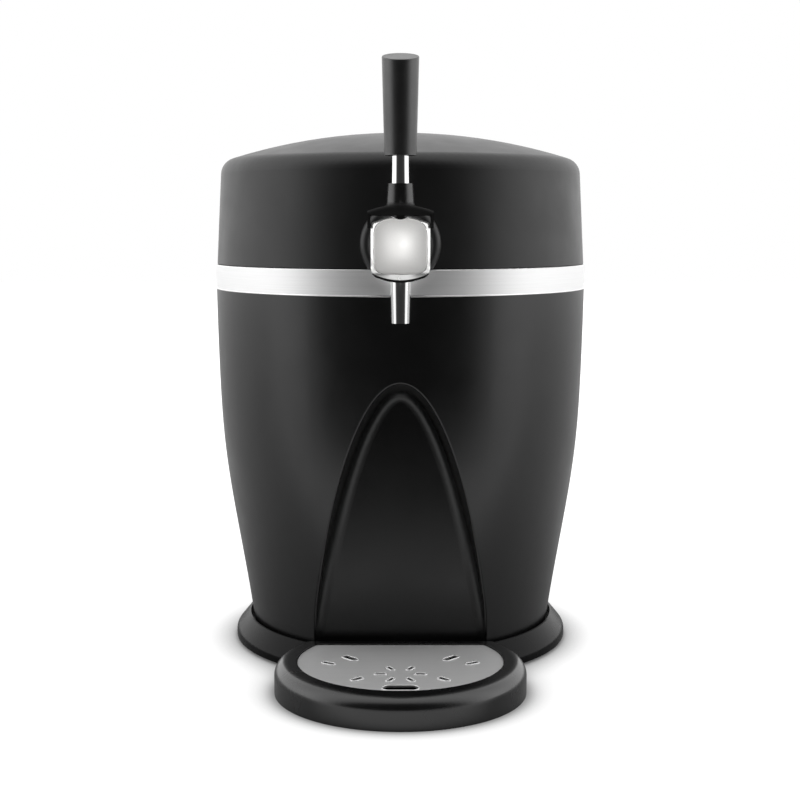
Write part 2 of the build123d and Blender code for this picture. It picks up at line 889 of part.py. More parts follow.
def make_control_board():
    face = housing_inside - board_standoff - board_thickness
    board = Pos(0, face + board_thickness / 2, board_z) * Box(board_width, board_thickness, board_height)
    board = board + board_part(coil_x, coil_z, coil_width, coil_height, coil_depth)
    board = board + board_part(capacitor_x, relay_z, relay_width, relay_height, relay_depth)
    board = board + board_part(terminal_x, terminal_z, terminal_width, terminal_height, terminal_depth)
    for side in (-1, 1):
        x = capacitor_x + side * capacitor_spacing / 2
        board = board + bar_y(capacitor_radius, face - capacitor_depth, face, x, board_z + capacitor_z)
    return board


def make_power_inlet():
    half = socket_width / 2
    tall = socket_height / 2
    body = block(*socket_hole, housing_back - socket_depth, housing_back, *socket_levels)
    flange = block(
        socket_x - half - socket_flange, socket_x + half + socket_flange,
        housing_back, housing_back + socket_flange_thickness,
        socket_z - tall - socket_flange, socket_z + tall + socket_flange,
    )
    flange = fillet(flange.edges().filter_by(Axis.Y), 2)
    mouth = block(
        socket_x - socket_mouth_width / 2, socket_x + socket_mouth_width / 2,
        housing_back + socket_flange_thickness - socket_mouth_depth, housing_back + 5,
        socket_z - socket_mouth_height / 2, socket_z + socket_mouth_height / 2,
    )
    inlet = body + flange - mouth
    floor = housing_back + socket_flange_thickness - socket_mouth_depth
    for step, rise in ((-1, -1.0), (0, 2.0), (1, -1.0)):
        x = socket_x + step * socket_pin_spacing / 2
        z = socket_z + rise
        inlet = inlet + block(x - 1, x + 1, floor - 1, floor + socket_pin_length, z - 2, z + 2)
    return inlet


def make_switch_frame():
    half = switch_width / 2
    tall = switch_height / 2
    body = block(*switch_hole, housing_back - switch_depth, housing_back, *switch_levels)
    flange = block(
        switch_x - half - switch_flange, switch_x + half + switch_flange,
        housing_back, housing_back + socket_flange_thickness,
        socket_z - tall - switch_flange, socket_z + tall + switch_flange,
    )
    flange = fillet(flange.edges().filter_by(Axis.Y), 1.5)
    room = block(
        switch_x - half + 1.5, switch_x + half - 1.5,
        housing_back - switch_depth + 2, housing_back + 5,
        socket_z - tall + 1.5, socket_z + tall - 1.5,
    )
    frame = body + flange - room
    reach = half - 0.5
    bore = rocker_pin_radius + pivot_play
    return frame - bar_x(bore, switch_x - reach, switch_x + reach, rocker_axis_y, socket_z)


def make_power_switch():
    half = switch_width / 2 - 1.5 - rocker_play
    tall = switch_height / 2 - 1.5 - rocker_play
    face = housing_back + socket_flange_thickness
    points = [
        (rocker_axis_y - 2.5, socket_z - 2.5),
        (face - 1.0, socket_z - tall + 0.3),
        (face + 1.6, socket_z - tall + 0.6),
        (face + 0.5, socket_z),
        (face + 1.6, socket_z + tall - 0.6),
        (face - 1.0, socket_z + tall - 0.3),
        (rocker_axis_y - 2.5, socket_z + 2.5),
    ]
    rocker = side_profile(points, switch_x - half, switch_x + half)
    axis = Axis((switch_x, rocker_axis_y, socket_z), (1, 0, 0))
    rocker = rocker.rotate(axis, -rocker_tilt_deg)
    reach = half + rocker_play + 0.6
    return rocker + bar_x(rocker_pin_radius, switch_x - reach, switch_x + reach, rocker_axis_y, socket_z)


rocker_axis_y = housing_back - 3.0


# ---------------------------------------------------------------- lid hinge

def make_hinge_base():
    front = hinge_y - hinge_base_front
    rear = hinge_y + hinge_base_rear
    base = block(-hinge_half_width, hinge_half_width, front, rear, housing_top, hinge_base_top)
    cheek = hinge_arm_half_width + hinge_side_play
    knuckle_front = hinge_y - hinge_knuckle_radius
    knuckle_rear = hinge_y + hinge_knuckle_radius
    for low, high in ((-hinge_half_width, -cheek), (cheek, hinge_half_width)):
        base = base + block(low, high, knuckle_front, knuckle_rear, hinge_base_top - 1, hinge_z)
        base = base + bar_x(hinge_knuckle_radius, low, high, hinge_y, hinge_z)
    base = base - bar_x(hinge_pin_radius, -hinge_half_width - 1, hinge_half_width + 1, hinge_y, hinge_z)
    for x in (-hinge_screw_x, hinge_screw_x):
        base = base - tube_up(bracket_screw_radius + 0.2, housing_top - 1, hinge_base_top + 1, x, hinge_y)
    return base


def make_hinge_screws():
    head_top = hinge_base_top + screw_head_height
    screws = []
    for x in (-hinge_screw_x, hinge_screw_x):
        low = housing_top - hinge_screw_depth
        shaft = tube_up(bracket_screw_radius, low, hinge_base_top + 0.5, x, hinge_y)
        screws.append(shaft + tube_up(screw_head_radius, hinge_base_top, head_top, x, hinge_y))
    return together(screws)


def make_hinge_pin():
    pin = bar_x(hinge_pin_radius, -hinge_half_width - 1, hinge_half_width + 1, hinge_y, hinge_z)
    return chamfer(pin.edges().filter_by(GeomType.CIRCLE), 0.4)


def make_lid_hinge_arm():
    top = lid_bottom + hinge_arm_height
    outside = lid_base_radius + hinge_arm_thickness
    points = [
        (lid_corner_radius - 2, lid_bottom + 4),
        (lid_corner_radius - 2, top),
        (outside - 2, top),
        (hinge_y + hinge_knuckle_radius - 0.5, hinge_z + 3),
        (hinge_y, hinge_z - 2),
        (hinge_y - hinge_knuckle_radius + 0.4, hinge_z + 1),
        (rim_radius + 1.6, lid_bottom),
    ]
    arm = side_profile(points, -hinge_arm_half_width, hinge_arm_half_width)
    arm = arm + bar_x(hinge_knuckle_radius, -hinge_arm_half_width, hinge_arm_half_width, hinge_y, hinge_z)
    arm = arm - lid_outside()
    bore = hinge_pin_radius + hinge_pin_play
    arm = arm - bar_x(bore, -hinge_half_width, hinge_half_width, hinge_y, hinge_z)
    for x in arm_screw_places:
        arm = arm - bar_y(lid_screw_radius, 0, lid_base_radius + 2, x, arm_screw_z)
    return arm


def make_arm_screws():
    inside = lid_wall_inside(arm_screw_z)
    screws = []
    for x in arm_screw_places:
        seat = math.sqrt(inside ** 2 - (abs(x) + small_head_radius) ** 2) - 0.2
        shaft = bar_y(lid_screw_radius, seat - 1, lid_base_radius + 1, x, arm_screw_z)
        screws.append(shaft + bar_y(small_head_radius, seat - 2, seat, x, arm_screw_z))
    return together(screws)


def lid_wall_inside(z):
    """Inner radius of the lid's side wall at a height."""
    lean = (lid_base_radius - lid_corner_radius) / lid_side_height
    return lid_base_radius - lid_wall - (z - lid_bottom) * lean


# ---------------------------------------------------------------- lid

def lid_body(inset, bottom):
    """Turned lid with its domed top, its skin moved in by inset."""
    corner = lid_corner_radius - inset
    corner_z = lid_corner_z - inset
    crown = crown_z - inset
    rise = crown - corner_z
    dome_radius = (corner ** 2 + rise ** 2) / (2 * rise)
    half_way = corner / 2
    half_z = crown - dome_radius + math.sqrt(dome_radius ** 2 - half_way ** 2)
    dome = ThreePointArc((corner, 0, corner_z), (half_way, 0, half_z), (0, 0, crown))
    lean = (lid_base_radius - lid_corner_radius) / (corner_z - lid_bottom)
    foot = lid_base_radius - inset + (lid_bottom - bottom) * lean
    rest = Polyline((0, 0, crown), (0, 0, bottom), (foot, 0, bottom), (corner, 0, corner_z))
    body = revolve(make_face([dome, rest]), axis=Axis.Z)
    corner_edge = [
        edge for edge in body.edges().filter_by(GeomType.CIRCLE)
        if abs(edge.radius - corner) < 0.01 and abs(edge.center().Z - corner_z) < 0.01
    ]
    return fillet(corner_edge, lid_corner_round - inset)


def lid_outside():
    return lid_body(0, lid_bottom)


def tap_notch(play):
    """Space that the tap's post, nut and tail need under the lid, open downwards."""
    half = notch_half_width + play
    return block(-half, half, -lid_base_radius, -notch_reach, 0, post_top + 3 + play)


def neck_slot():
    """Slot for the tap's neck through the lid's front, open downwards."""
    half = neck_radius + neck_slot_play
    slot = bar_y(half, -surround_front - 5, -post_front, 0, tap_z)
    return slot + block(-half, half, -surround_front - 5, -post_front, 0, tap_z)


def make_lid_shell():
    outside = lid_outside()
    surround = bar_y(tap_surround_radius, -surround_front, -post_front, 0, surround_z)
    front_edge = [edge for edge in surround.edges() if edge.center().Y < -surround_front + 0.1]
    surround = fillet(front_edge, tap_surround_round)
    wide = tap_surround_radius + 1
    surround = surround - block(-wide, wide, -surround_front - 1, 0, 0, lid_bottom)
    shell = outside + surround - lid_body(lid_wall, lid_bottom - 1)
    for angle in base_screw_angles:
        x, y = on_ring(lid_boss_ring, angle)
        boss = tube_up(lid_boss_radius, liner_bottom + liner_wall, crown_z, x, y)
        boss = boss & lid_body(lid_wall / 2, lid_bottom)
        shell = shell + boss
        shell = shell - tube_up(lid_screw_radius, lid_bottom, liner_bottom + 20, x, y)
    for x in arm_screw_places:
        shell = shell - bar_y(lid_screw_radius + 0.2, 0, lid_base_radius + 1, x, arm_screw_z)
    shell = shell - neck_slot()
    return shell


def make_lid_liner():
    inside = lid_base_radius - lid_wall - 0.2
    liner = turned([
        (liner_radius, liner_bottom),
        (inside, liner_bottom),
        (inside, liner_bottom + liner_wall),
        (liner_radius + liner_wall, liner_bottom + liner_wall),
        (liner_radius + liner_wall, liner_top + liner_wall),
        (0, liner_top + liner_wall),
        (0, liner_top),
        (liner_radius, liner_top),
    ])
    liner = liner - tap_notch(0)
    for angle in base_screw_angles:
        x, y = on_ring(lid_boss_ring, angle)
        liner = liner - tube_up(lid_screw_radius + 0.2, lid_bottom, liner_bottom + liner_wall + 1, x, y)
    return liner


def make_lid_insulation():
    foam = lid_body(lid_wall, liner_bottom + liner_wall)
    foam = foam - tube_up(liner_radius + liner_wall, 0, liner_top + liner_wall)
    foam = foam - tap_notch(0)
    for angle in base_screw_angles:
        x, y = on_ring(lid_boss_ring, angle)
        foam = foam - tube_up(lid_boss_radius, 0, crown_z, x, y)
    half = arm_screw_spacing / 2 + arm_screw_room
    low, high = arm_screw_z - arm_screw_room, arm_screw_z + arm_screw_room
    return foam - block(-half, half, lid_boss_ring, lid_base_radius, low, high)


def make_liner_screws():
    screws = []
    for angle in base_screw_angles:
        x, y = on_ring(lid_boss_ring, angle)
        shaft = tube_up(lid_screw_radius, liner_bottom - 0.5, liner_bottom + 14, x, y)
        screws.append(shaft + tube_up(small_head_radius, liner_bottom - 2, liner_bottom, x, y))
    return together(screws)


# ---------------------------------------------------------------- tap

def arched_outline(half_width, bottom, top, arch, distance):
    """Face in the XZ direction with straight sides and gently arched top and bottom."""
    y = -distance
    top_arc = ThreePointArc((-half_width, y, top - arch), (0, y, top), (half_width, y, top - arch))
    right = Line((half_width, y, top - arch), (half_width, y, bottom + arch))
    low_arc = ThreePointArc((half_width, y, bottom + arch), (0, y, bottom), (-half_width, y, bottom + arch))
    left = Line((-half_width, y, bottom + arch), (-half_width, y, top - arch))
    return make_face([top_arc, right, low_arc, left])


def arched_block(half_width, bottom, top, arch, front, back, corner):
    """Arched outline given depth, from y = -front to y = -back, with rounded corners."""
    face = arched_outline(half_width, bottom, top, arch, front)
    body = extrude(face, amount=front - back, dir=(0, 1, 0))
    return fillet(body.edges().filter_by(Axis.Y), corner)


def web_room(play):
    """Space that the lever's web, hub and tip sweep through, seen from the side."""
    half = lever_web_thickness / 2 + play
    travel = math.radians(lever_travel_deg)
    rear = -(lever_distance - lever_web_depth - web_end_play)
    front = -(lever_distance + lever_hub_radius + web_slot_play)
    low = tap_z - lever_tip_radius - web_end_play
    lean = math.tan(travel)
    shift = web_slot_play / math.cos(travel)
    knee = (-lever_distance - shift - front) / lean
    rise = hood_top + 6 - pivot_z
    points = [
        (rear, low),
        (front, low),
        (front, pivot_z + knee),
        (-lever_distance - shift - rise * lean, pivot_z + rise),
        (rear, pivot_z + rise),
    ]
    return side_profile(points, -half, half)


def make_tap_body():
    width, front, back = tap_block_half_width, tap_block_front, tap_block_back
    body = arched_block(width, block_bottom, block_top, cap_arch, front, back, cap_corner_round)
    body = body + bar_y(neck_radius, -tap_block_back - 1, -post_front - tap_gasket_thickness, 0, tap_z)
    body = body + bar_y(shank_radius, -post_front - 1, -post_back + nut_thickness + 1, 0, tap_z)
    body = body + bar_y(tail_radius, -tail_end - tail_length - 1, -tail_end, 0, tap_z)
    body = body - bar_y(valve_seat_radius, -plunger_neck_end, -valve_seat_distance + 1, 0, tap_z)
    body = body - bar_y(valve_bore_radius, -valve_seat_distance, -tail_end - tail_length - 2, 0, tap_z)
    body = body - bar_y(tail_bore_radius, -tail_end - tail_length - 3, -tail_end + 1, 0, tap_z)
    body = body - bar_y(plunger_radius + plunger_play, -tap_block_front - 1, -plunger_neck_end + 1, 0, tap_z)
    body = body - web_room(web_slot_play)
    body = body - bar_x(pivot_pin_radius, -20, 20, -lever_distance, pivot_z)
    body = body - tube_up(spout_top_radius, 0, block_bottom + spout_socket_depth, 0, -spout_distance)
    return body - tube_up(2.0, block_bottom, tap_z, 0, -plunger_neck_end + 2.2)


def make_pivot_pin():
    reach = tap_block_half_width - 0.5
    pin = bar_x(pivot_pin_radius, -reach, reach, -lever_distance, pivot_z)
    return chamfer(pin.edges().filter_by(GeomType.CIRCLE), 0.3)


def notch_cutter():
    return bar_y(notch_radius, -cap_front - 5, -cap_back + 5, 0, notch_z)


def make_face_cap():
    cap = arched_block(cap_half_width, cap_bottom, cap_top, cap_arch, cap_front, cap_back, cap_corner_round)
    front = cap.faces().sort_by(Axis.Y)[0]
    cap = chamfer(front.edges(), cap_bevel)
    inner = cap_half_width - cap_side_skin
    cavity = block(-inner, inner, -tap_block_front, -cap_back + 1, cap_bottom - 5, block_top + 0.4)
    cap = cap - cavity
    seat = cap_front - face_thickness
    cap = cap - face_blank(face_half_width + face_play, face_height + 2 * face_play, cap_front + 1, seat)
    cap = cap - notch_cutter()
    return cap - web_room(web_slot_play + 0.2)


def face_blank(half_width, height, front, back):
    """Rounded plate in front of the tap, from y = -front to y = -back."""
    plate = block(-half_width, half_width, -front, -back, face_z - height / 2, face_z + height / 2)
    return fillet(plate.edges().filter_by(Axis.Y), face_corner_round)


def make_face_plate():
    front = cap_front + face_proud
    plate = face_blank(face_half_width, face_height, front, cap_front - face_thickness)
    plate = fillet(plate.faces().sort_by(Axis.Y)[0].edges(), face_proud)
    plate = plate - notch_cutter()
    return plate - web_room(web_slot_play + 0.2)


def make_spout_tube():
    top = block_bottom + spout_socket_depth
    end = lid_bottom - spout_end_drop
    outside = tube_up(spout_top_radius, block_bottom, top, 0, -spout_distance)
    outside = outside + cone_up(spout_end_radius, spout_top_radius, end, block_bottom, 0, -spout_distance)
    inside = tube_up(spout_top_radius - spout_wall, block_bottom, top + 1, 0, -spout_distance)
    inside = inside + cone_up(
        spout_end_radius - spout_wall, spout_top_radius - spout_wall, end, block_bottom, 0, -spout_distance
    )
    return outside - inside


post_screw_y = -(post_front + post_back) / 2


def make_tap_post():
    post = block(-post_half_width, post_half_width, -post_front, -post_back, deck_top, post_top)
    post = fillet(post.edges().filter_by(Axis.Y).group_by(Axis.Z)[-1], post_half_width - 6)
    post = post - bar_y(shank_radius + 0.1, -post_front - 1, -post_back + 1, 0, tap_z)
    for x in (-bracket_screw_spacing / 2, bracket_screw_spacing / 2):
        post = post - tube_up(bracket_screw_radius, deck_top - 1, deck_top + 9, x, post_screw_y)
    return post


def make_post_screws():
    screws = []
    for x in (-bracket_screw_spacing / 2, bracket_screw_spacing / 2):
        shaft = tube_up(bracket_screw_radius, deck_bottom - 0.5, deck_top + 8, x, post_screw_y)
        screws.append(shaft + tube_up(screw_head_radius, deck_bottom - 2.2, deck_bottom, x, post_screw_y))
    return together(screws)


def make_tap_gasket():
    near = -post_front - tap_gasket_thickness
    return bar_y(neck_radius, near, -post_front, 0, tap_z) - bar_y(shank_radius + 0.1, near - 1, 0, 0, tap_z)


def make_neck_nut():
    start = -post_back
    hexagon = RegularPolygon(nut_across_flats / 2, 6, major_radius=False)
    nut = Pos(0, start, tap_z) * Rot(X=-90) * extrude(hexagon, amount=nut_thickness)
    return nut - bar_y(shank_radius, start - 1, start + nut_thickness + 1, 0, tap_z)


# ---------------------------------------------------------------- lever

def hood_body():
    """Saddle over the tap's top, arched across and rounded at its front and rear edges."""
    front = lever_distance + hood_front_reach
    face = arched_outline(hood_half_width, pivot_z - 20, hood_top, hood_arch, front)
    body = extrude(face, amount=hood_front_reach + hood_rear_reach, dir=(0, 1, 0))
    top_arcs = body.faces().sort_by(Axis.Z)[-1].edges().filter_by(GeomType.CIRCLE)
    body = fillet(top_arcs, hood_edge_round)
    wide = hood_half_width + 1
    rear = lever_distance - hood_rear_reach - 1
    body = body - block(-wide, wide, -front - 1, -rear, 0, pivot_z + hood_skirt_rise)
    inner = cap_half_width + hood_side_clearance
    return body - bar_x(hood_inner_radius, -inner, inner, -lever_distance, pivot_z)


def make_lever_hood():
    hood = hood_body()
    half = lever_web_thickness / 2
    web_back = -lever_distance + lever_web_depth
    web = block(-half, half, -lever_distance, web_back, pivot_z, pivot_z + hood_inner_radius + 1)
    web = web + bar_x(lever_hub_radius, -half, half, -lever_distance, pivot_z)
    tip_front = -lever_distance - lever_tip_radius
    web = web + block(-half, half, tip_front, tip_front + 2 * lever_tip_radius, tap_z, pivot_z)
    web = web + bar_x(lever_tip_radius, -half, half, -lever_distance, tap_z)
    web = web - bar_x(pivot_pin_radius + pivot_play, -half - 1, half + 1, -lever_distance, pivot_z)
    collar = cone_up(collar_base_radius, collar_top_radius, hood_top - 2.5, collar_top, 0, -lever_distance)
    hood = hood + web + collar
    return hood - tube_up(stem_stud_radius, collar_top - stem_stud_length, collar_top + 1, 0, -lever_distance)


def make_lever_stem():
    stem = cone_up(stem_base_radius, stem_top_radius, collar_top, stem_top, 0, -lever_distance)
    stem = stem + tube_up(stem_stud_radius, collar_top - stem_stud_length, collar_top + 1, 0, -lever_distance)
    return stem + tube_up(stem_stud_radius, stem_top - 1, stem_top + stem_stud_length, 0, -lever_distance)


def make_handle_grip():
    growth = (grip_top_radius - grip_base_radius) / grip_length
    over = grip_top_radius
    over_radius = grip_top_radius + growth * over
    grip = cone_up(grip_base_radius, over_radius, stem_top, grip_top + over, 0, -lever_distance)
    slant = Pos(0, -lever_distance, grip_top) * Rot(X=grip_top_slant_deg) * Box(
        60, 60, 60, align=(Align.CENTER, Align.CENTER, Align.MIN)
    )
    grip = grip - slant
    grip = fillet(grip.edges().sort_by(Axis.Z)[-1], grip_edge_round)
    return grip - tube_up(stem_stud_radius, stem_top - 1, stem_top + stem_stud_length, 0, -lever_distance)


# ---------------------------------------------------------------- valve

plunger_front = lever_distance - lever_tip_radius - 0.05
plunger_head_start = valve_seat_distance - plunger_seal_thickness
plunger_head_end = plunger_head_start - plunger_head_length


def make_valve_plunger():
    plunger = bar_y(plunger_radius, -plunger_front, -plunger_neck_end + 0.5, 0, tap_z)
    plunger = plunger + bar_y(plunger_stem_radius, -plunger_neck_end, -plunger_head_start + 1, 0, tap_z)
    plunger = plunger + bar_y(plunger_head_radius, -plunger_head_start, -plunger_head_end, 0, tap_z)
    return plunger + bar_y(2.5, -plunger_head_end - 1, -plunger_head_end + 3, 0, tap_z)


def make_plunger_seal():
    seal = bar_y(plunger_head_radius, -valve_seat_distance + 0.02, -plunger_head_start, 0, tap_z)
    return seal - bar_y(plunger_stem_radius, -valve_seat_distance - 1, 0, 0, tap_z)


def make_valve_spring():
    start = -plunger_head_end + 0.05 + spring_wire_radius
    end = -(tail_end + tail_length + 2) - 0.05 - spring_wire_radius
    pitch = (end - start) / spring_turns
    path = Helix(pitch, end - start, spring_mean_radius)
    section = Plane(path @ 0, z_dir=path % 0) * Circle(spring_wire_radius)
    coil = sweep(section, path)
    return Pos(0, start, tap_z) * Rot(X=-90) * coil


# ---------------------------------------------------------------- drip tray

def behind(distance):
    """Everything behind y = -distance near the tray."""
    wide = 2 * tray_half_width
    return block(-wide, wide, -distance, wide, -wide, wide)


def oval(half_width, half_depth, bottom, top):
    """Upright oval block about the tray's middle."""
    return Pos(0, -tray_distance, bottom) * extrude(Ellipse(half_width, half_depth), amount=top - bottom)


def tray_oval(inset, bottom, top, cut_back):
    """Oval block inside the tray's outline by inset, with a straight cut behind."""
    return oval(tray_half_width - inset, tray_half_depth - inset, bottom, top) - behind(cut_back)


def make_drip_tray():
    body = oval(tray_half_width, tray_half_depth, 0, tray_height)
    body = fillet(body.edges().sort_by(Axis.Z)[-1], tray_round)
    under = oval(tray_half_width - tray_skin, tray_half_depth - tray_skin, -1, tray_height - tray_skin)
    under = fillet(under.edges().sort_by(Axis.Z)[-1], tray_round - tray_skin)
    basin = tray_rim_width + tray_ledge_width
    basin_back = plate_back + tray_ledge_width
    ledge_z = tray_height - plate_drop - plate_thickness
    under = under - behind(tray_back + tray_skin)
    under = under - tray_oval(basin - tray_skin, -2, tray_height, basin_back - tray_skin)
    tray = body - behind(tray_back) - under
    tray = tray - tray_oval(basin, tray_floor, tray_height + 1, basin_back)
    return tray - tray_oval(tray_rim_width, ledge_z, tray_height + 1, plate_back)


def make_drip_plate():
    top = tray_height - plate_drop
    plate = tray_oval(tray_rim_width + plate_gap, top - plate_thickness, top, plate_back + plate_gap)
    back_edges = plate.edges().group_by(Axis.Y)[-1]
    plate = fillet([edge for edge in back_edges if edge.length < 2 * plate_thickness], plate_corner_round)
    for slot in plate_slots():
        plate = plate - slot
    return plate


def plate_slot(x, y, turn_deg, length, width):
    """Cutter for one long slot, placed from the tray's middle."""
    prism = extrude(SlotOverall(length, width), amount=tray_height)
    return Pos(x, y - tray_distance, tray_height / 2) * Rot(Z=turn_deg) * prism


def plate_slots():
    slots = [plate_slot(0, finger_slot_y, 0, finger_slot_length, finger_slot_width)]
    for side in (-1, 1):
        turn = side * rear_slot_turn_deg
        slots.append(plate_slot(side * rear_slot_x, rear_slot_y, turn, rear_slot_length, rear_slot_width))
        turn = side * outer_slot_turn_deg
        slots.append(plate_slot(side * outer_slot_x, outer_slot_y, turn, outer_slot_length, outer_slot_width))
        turn = side * front_slot_turn_deg
        slots.append(plate_slot(side * front_slot_x, front_slot_y, turn, front_slot_length, front_slot_width))
    for number in range(glass_slot_count):
        turn = 360 * number / glass_slot_count
        x, y = on_ring(glass_slot_ring, turn)
        slots.append(plate_slot(x, glass_slot_y + y, turn, glass_slot_length, glass_slot_width))
    return slots


# ---------------------------------------------------------------- all pieces

write("outer_shell", one_solid(make_outer_shell()))
write("trim_band", make_trim_band())
write("base_plinth", one_solid(make_base_plinth()))
write("foot_ring", one_solid(make_foot_ring()))
write("base_screws", make_base_screws())
write("keg_well", make_keg_well())
write("floor_pad", make_floor_pad())
write("insulation_jacket", one_solid(make_insulation_jacket()))
write("temperature_sensor", one_solid(make_temperature_sensor()))
write("well_deck", make_well_deck())
write("lid_gasket", make_lid_gasket())
write("cold_block", make_cold_block())
write("peltier_module", make_peltier_module())
write("heat_sink", make_heat_sink())
write("cooler_screws", make_cooler_screws())
write("fan_frame", make_fan_frame())
write("fan_screws", make_fan_screws())
write("fan_rotor", one_solid(make_fan_rotor()))
write("rear_housing", one_solid(make_rear_housing()))
write("housing_screws", make_housing_screws())
write("control_board", make_control_board())
write("power_inlet", make_power_inlet())
write("switch_frame", make_switch_frame())
write("power_switch", make_power_switch())
write("hinge_base", make_hinge_base())
write("hinge_screws", make_hinge_screws())
write("hinge_pin", make_hinge_pin())
write("lid_hinge_arm", one_solid(make_lid_hinge_arm()))
write("arm_screws", make_arm_screws())
write("lid_shell", one_solid(make_lid_shell()))
write("lid_liner", one_solid(make_lid_liner()))
write("lid_insulation", one_solid(make_lid_insulation()))
write("liner_screws", make_liner_screws())
write("tap_body", one_solid(make_tap_body()))
write("pivot_pin", make_pivot_pin())
write("face_cap", one_solid(make_face_cap()))
write("face_plate", one_solid(make_face_plate()))
write("spout_tube", make_spout_tube())
write("tap_post", make_tap_post())
write("post_screws", make_post_screws())
write("tap_gasket", make_tap_gasket())
write("neck_nut", make_neck_nut())
write("lever_hood", one_solid(make_lever_hood()))
write("lever_stem", make_lever_stem())
write("handle_grip", make_handle_grip())
write("valve_plunger", make_valve_plunger())
write("plunger_seal", make_plunger_seal())
write("valve_spring", make_valve_spring())
write("drip_tray", one_solid(make_drip_tray()))
write("drip_plate", make_drip_plate())
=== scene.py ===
# %% [markdown]
# # A tabletop beer dispenser, dressed piece by piece
#
# The CAD model already holds every piece of this dispenser in its right place: a barrel-shaped
# cooler, a hinged lid, a lever tap and an oval drip tray. This lesson gives those pieces their
# finishes, adds the small details that a solid model leaves out, and sets up a plain studio.
# They are never moved: new pieces are made beside them and told which moving body they ride on.

# %% Load the fixed frame
import json
import math

import bmesh
import bpy
from mathutils import Matrix, Vector


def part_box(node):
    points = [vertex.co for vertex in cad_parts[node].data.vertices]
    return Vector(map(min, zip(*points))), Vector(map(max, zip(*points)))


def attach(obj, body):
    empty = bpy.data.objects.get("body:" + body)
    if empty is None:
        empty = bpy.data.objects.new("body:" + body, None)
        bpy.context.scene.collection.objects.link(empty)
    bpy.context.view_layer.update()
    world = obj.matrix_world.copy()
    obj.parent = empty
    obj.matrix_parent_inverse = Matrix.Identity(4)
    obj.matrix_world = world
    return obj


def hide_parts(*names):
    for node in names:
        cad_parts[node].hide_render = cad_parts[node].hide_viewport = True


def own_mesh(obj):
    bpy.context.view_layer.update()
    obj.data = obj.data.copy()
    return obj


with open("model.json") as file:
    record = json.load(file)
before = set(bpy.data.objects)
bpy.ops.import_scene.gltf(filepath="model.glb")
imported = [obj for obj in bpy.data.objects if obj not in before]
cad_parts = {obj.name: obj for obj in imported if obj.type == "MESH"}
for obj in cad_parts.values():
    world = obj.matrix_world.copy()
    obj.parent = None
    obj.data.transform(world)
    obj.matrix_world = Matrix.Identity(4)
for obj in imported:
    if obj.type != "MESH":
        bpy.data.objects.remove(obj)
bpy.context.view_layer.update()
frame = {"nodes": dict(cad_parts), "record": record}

mm = 0.001
print("pieces:", len(frame["nodes"]))

# %% [markdown]
# ## Shader building blocks
#
# Every finish here starts from one Principled shader. Colours and numbers that are the same all
# over a surface sit directly on the shader's own sockets, because an exporter reads them there.
# Only what varies, such as mottling, grain or brushing, comes through nodes. All patterns read
# Object coordinates: each piece keeps its origin at the row's origin, so these are plain metres,
# and a pattern keeps its real size on every piece.

# %% Start a finish
def grey(shade):
    """The same shade for red, green and blue."""
    return (shade, shade, shade)


def new_finish(name, colour, roughness, metallic=0.0, specular=0.5):
    """Material with one Principled shader, and an Object coordinate node for patterns to read."""
    finish = bpy.data.materials.new(name)
    finish.use_nodes = True
    nodes = finish.node_tree.nodes
    shader = nodes["Principled BSDF"]
    shader.inputs["Base Color"].default_value = (*colour, 1.0)
    shader.inputs["Roughness"].default_value = roughness
    shader.inputs["Metallic"].default_value = metallic
    shader.inputs["Specular IOR Level"].default_value = specular
    nodes.new("ShaderNodeTexCoord").name = "place"
    return finish


def feed(finish, socket, value):
    """Let a node's output drive one socket of the finish's shader."""
    tree = finish.node_tree
    tree.links.new(value, tree.nodes["Principled BSDF"].inputs[socket])


print("finishes can be started")

# %% [markdown]
# ## Values for the shaders
#
# A pattern is worth little as it comes. It has to be squeezed, limited and combined before a
# shader can use it. Four small helpers do that: a noise, a range that turns one span of numbers
# into another, a sum on one or two values, and a way to read a place's X, Y or Z.

# %% Helpers for values
def noise_field(finish, scale, stretch=(1.0, 1.0, 1.0), detail=4.0, roughness=0.55):
    """Noise over the piece. scale counts waves per metre, stretch squeezes it along each axis."""
    tree = finish.node_tree
    mapping = tree.nodes.new("ShaderNodeMapping")
    mapping.inputs["Scale"].default_value = stretch
    noise = tree.nodes.new("ShaderNodeTexNoise")
    noise.inputs["Scale"].default_value = scale
    noise.inputs["Detail"].default_value = detail
    noise.inputs["Roughness"].default_value = roughness
    tree.links.new(tree.nodes["place"].outputs["Object"], mapping.inputs["Vector"])
    tree.links.new(mapping.outputs["Vector"], noise.inputs["Vector"])
    return noise.outputs["Fac"]


def ranged(tree, value, start, end, low=0.0, high=1.0, smooth=False):
    """Turn a value from start to end into one from low to high, and hold it there beyond."""
    node = tree.nodes.new("ShaderNodeMapRange")
    if smooth:
        node.interpolation_type = "SMOOTHSTEP"
    numbers = {"From Min": start, "From Max": end, "To Min": low, "To Max": high}
    for socket, number in numbers.items():
        node.inputs[socket].default_value = number
    tree.links.new(value, node.inputs["Value"])
    return node.outputs["Result"]


def combined(tree, operation, *values):
    """Result of a Math node, such as MULTIPLY, on the given values."""
    node = tree.nodes.new("ShaderNodeMath")
    node.operation = operation
    for value, socket in zip(values, node.inputs):
        tree.links.new(value, socket)
    return node.outputs["Value"]


def axes(tree, place):
    """X, Y and Z of a place, to be picked by name."""
    node = tree.nodes.new("ShaderNodeSeparateXYZ")
    tree.links.new(place, node.inputs["Vector"])
    return node.outputs


print("shader helpers ready")

# %% [markdown]
# ## Colour, gloss and grain that vary
#
# Moulded plastic is never perfectly even. Its colour drifts a little, its gloss changes where
# hands have polished it, and a spark-eroded mould leaves a fine grain. Three small helpers add
# these one at a time, so that each finish below reads like a recipe. A colour ramp limits how far
# a noise may push a value.

# %% Vary a finish
noise_low, noise_high = 0.3, 0.7  # most of a noise lies between these values


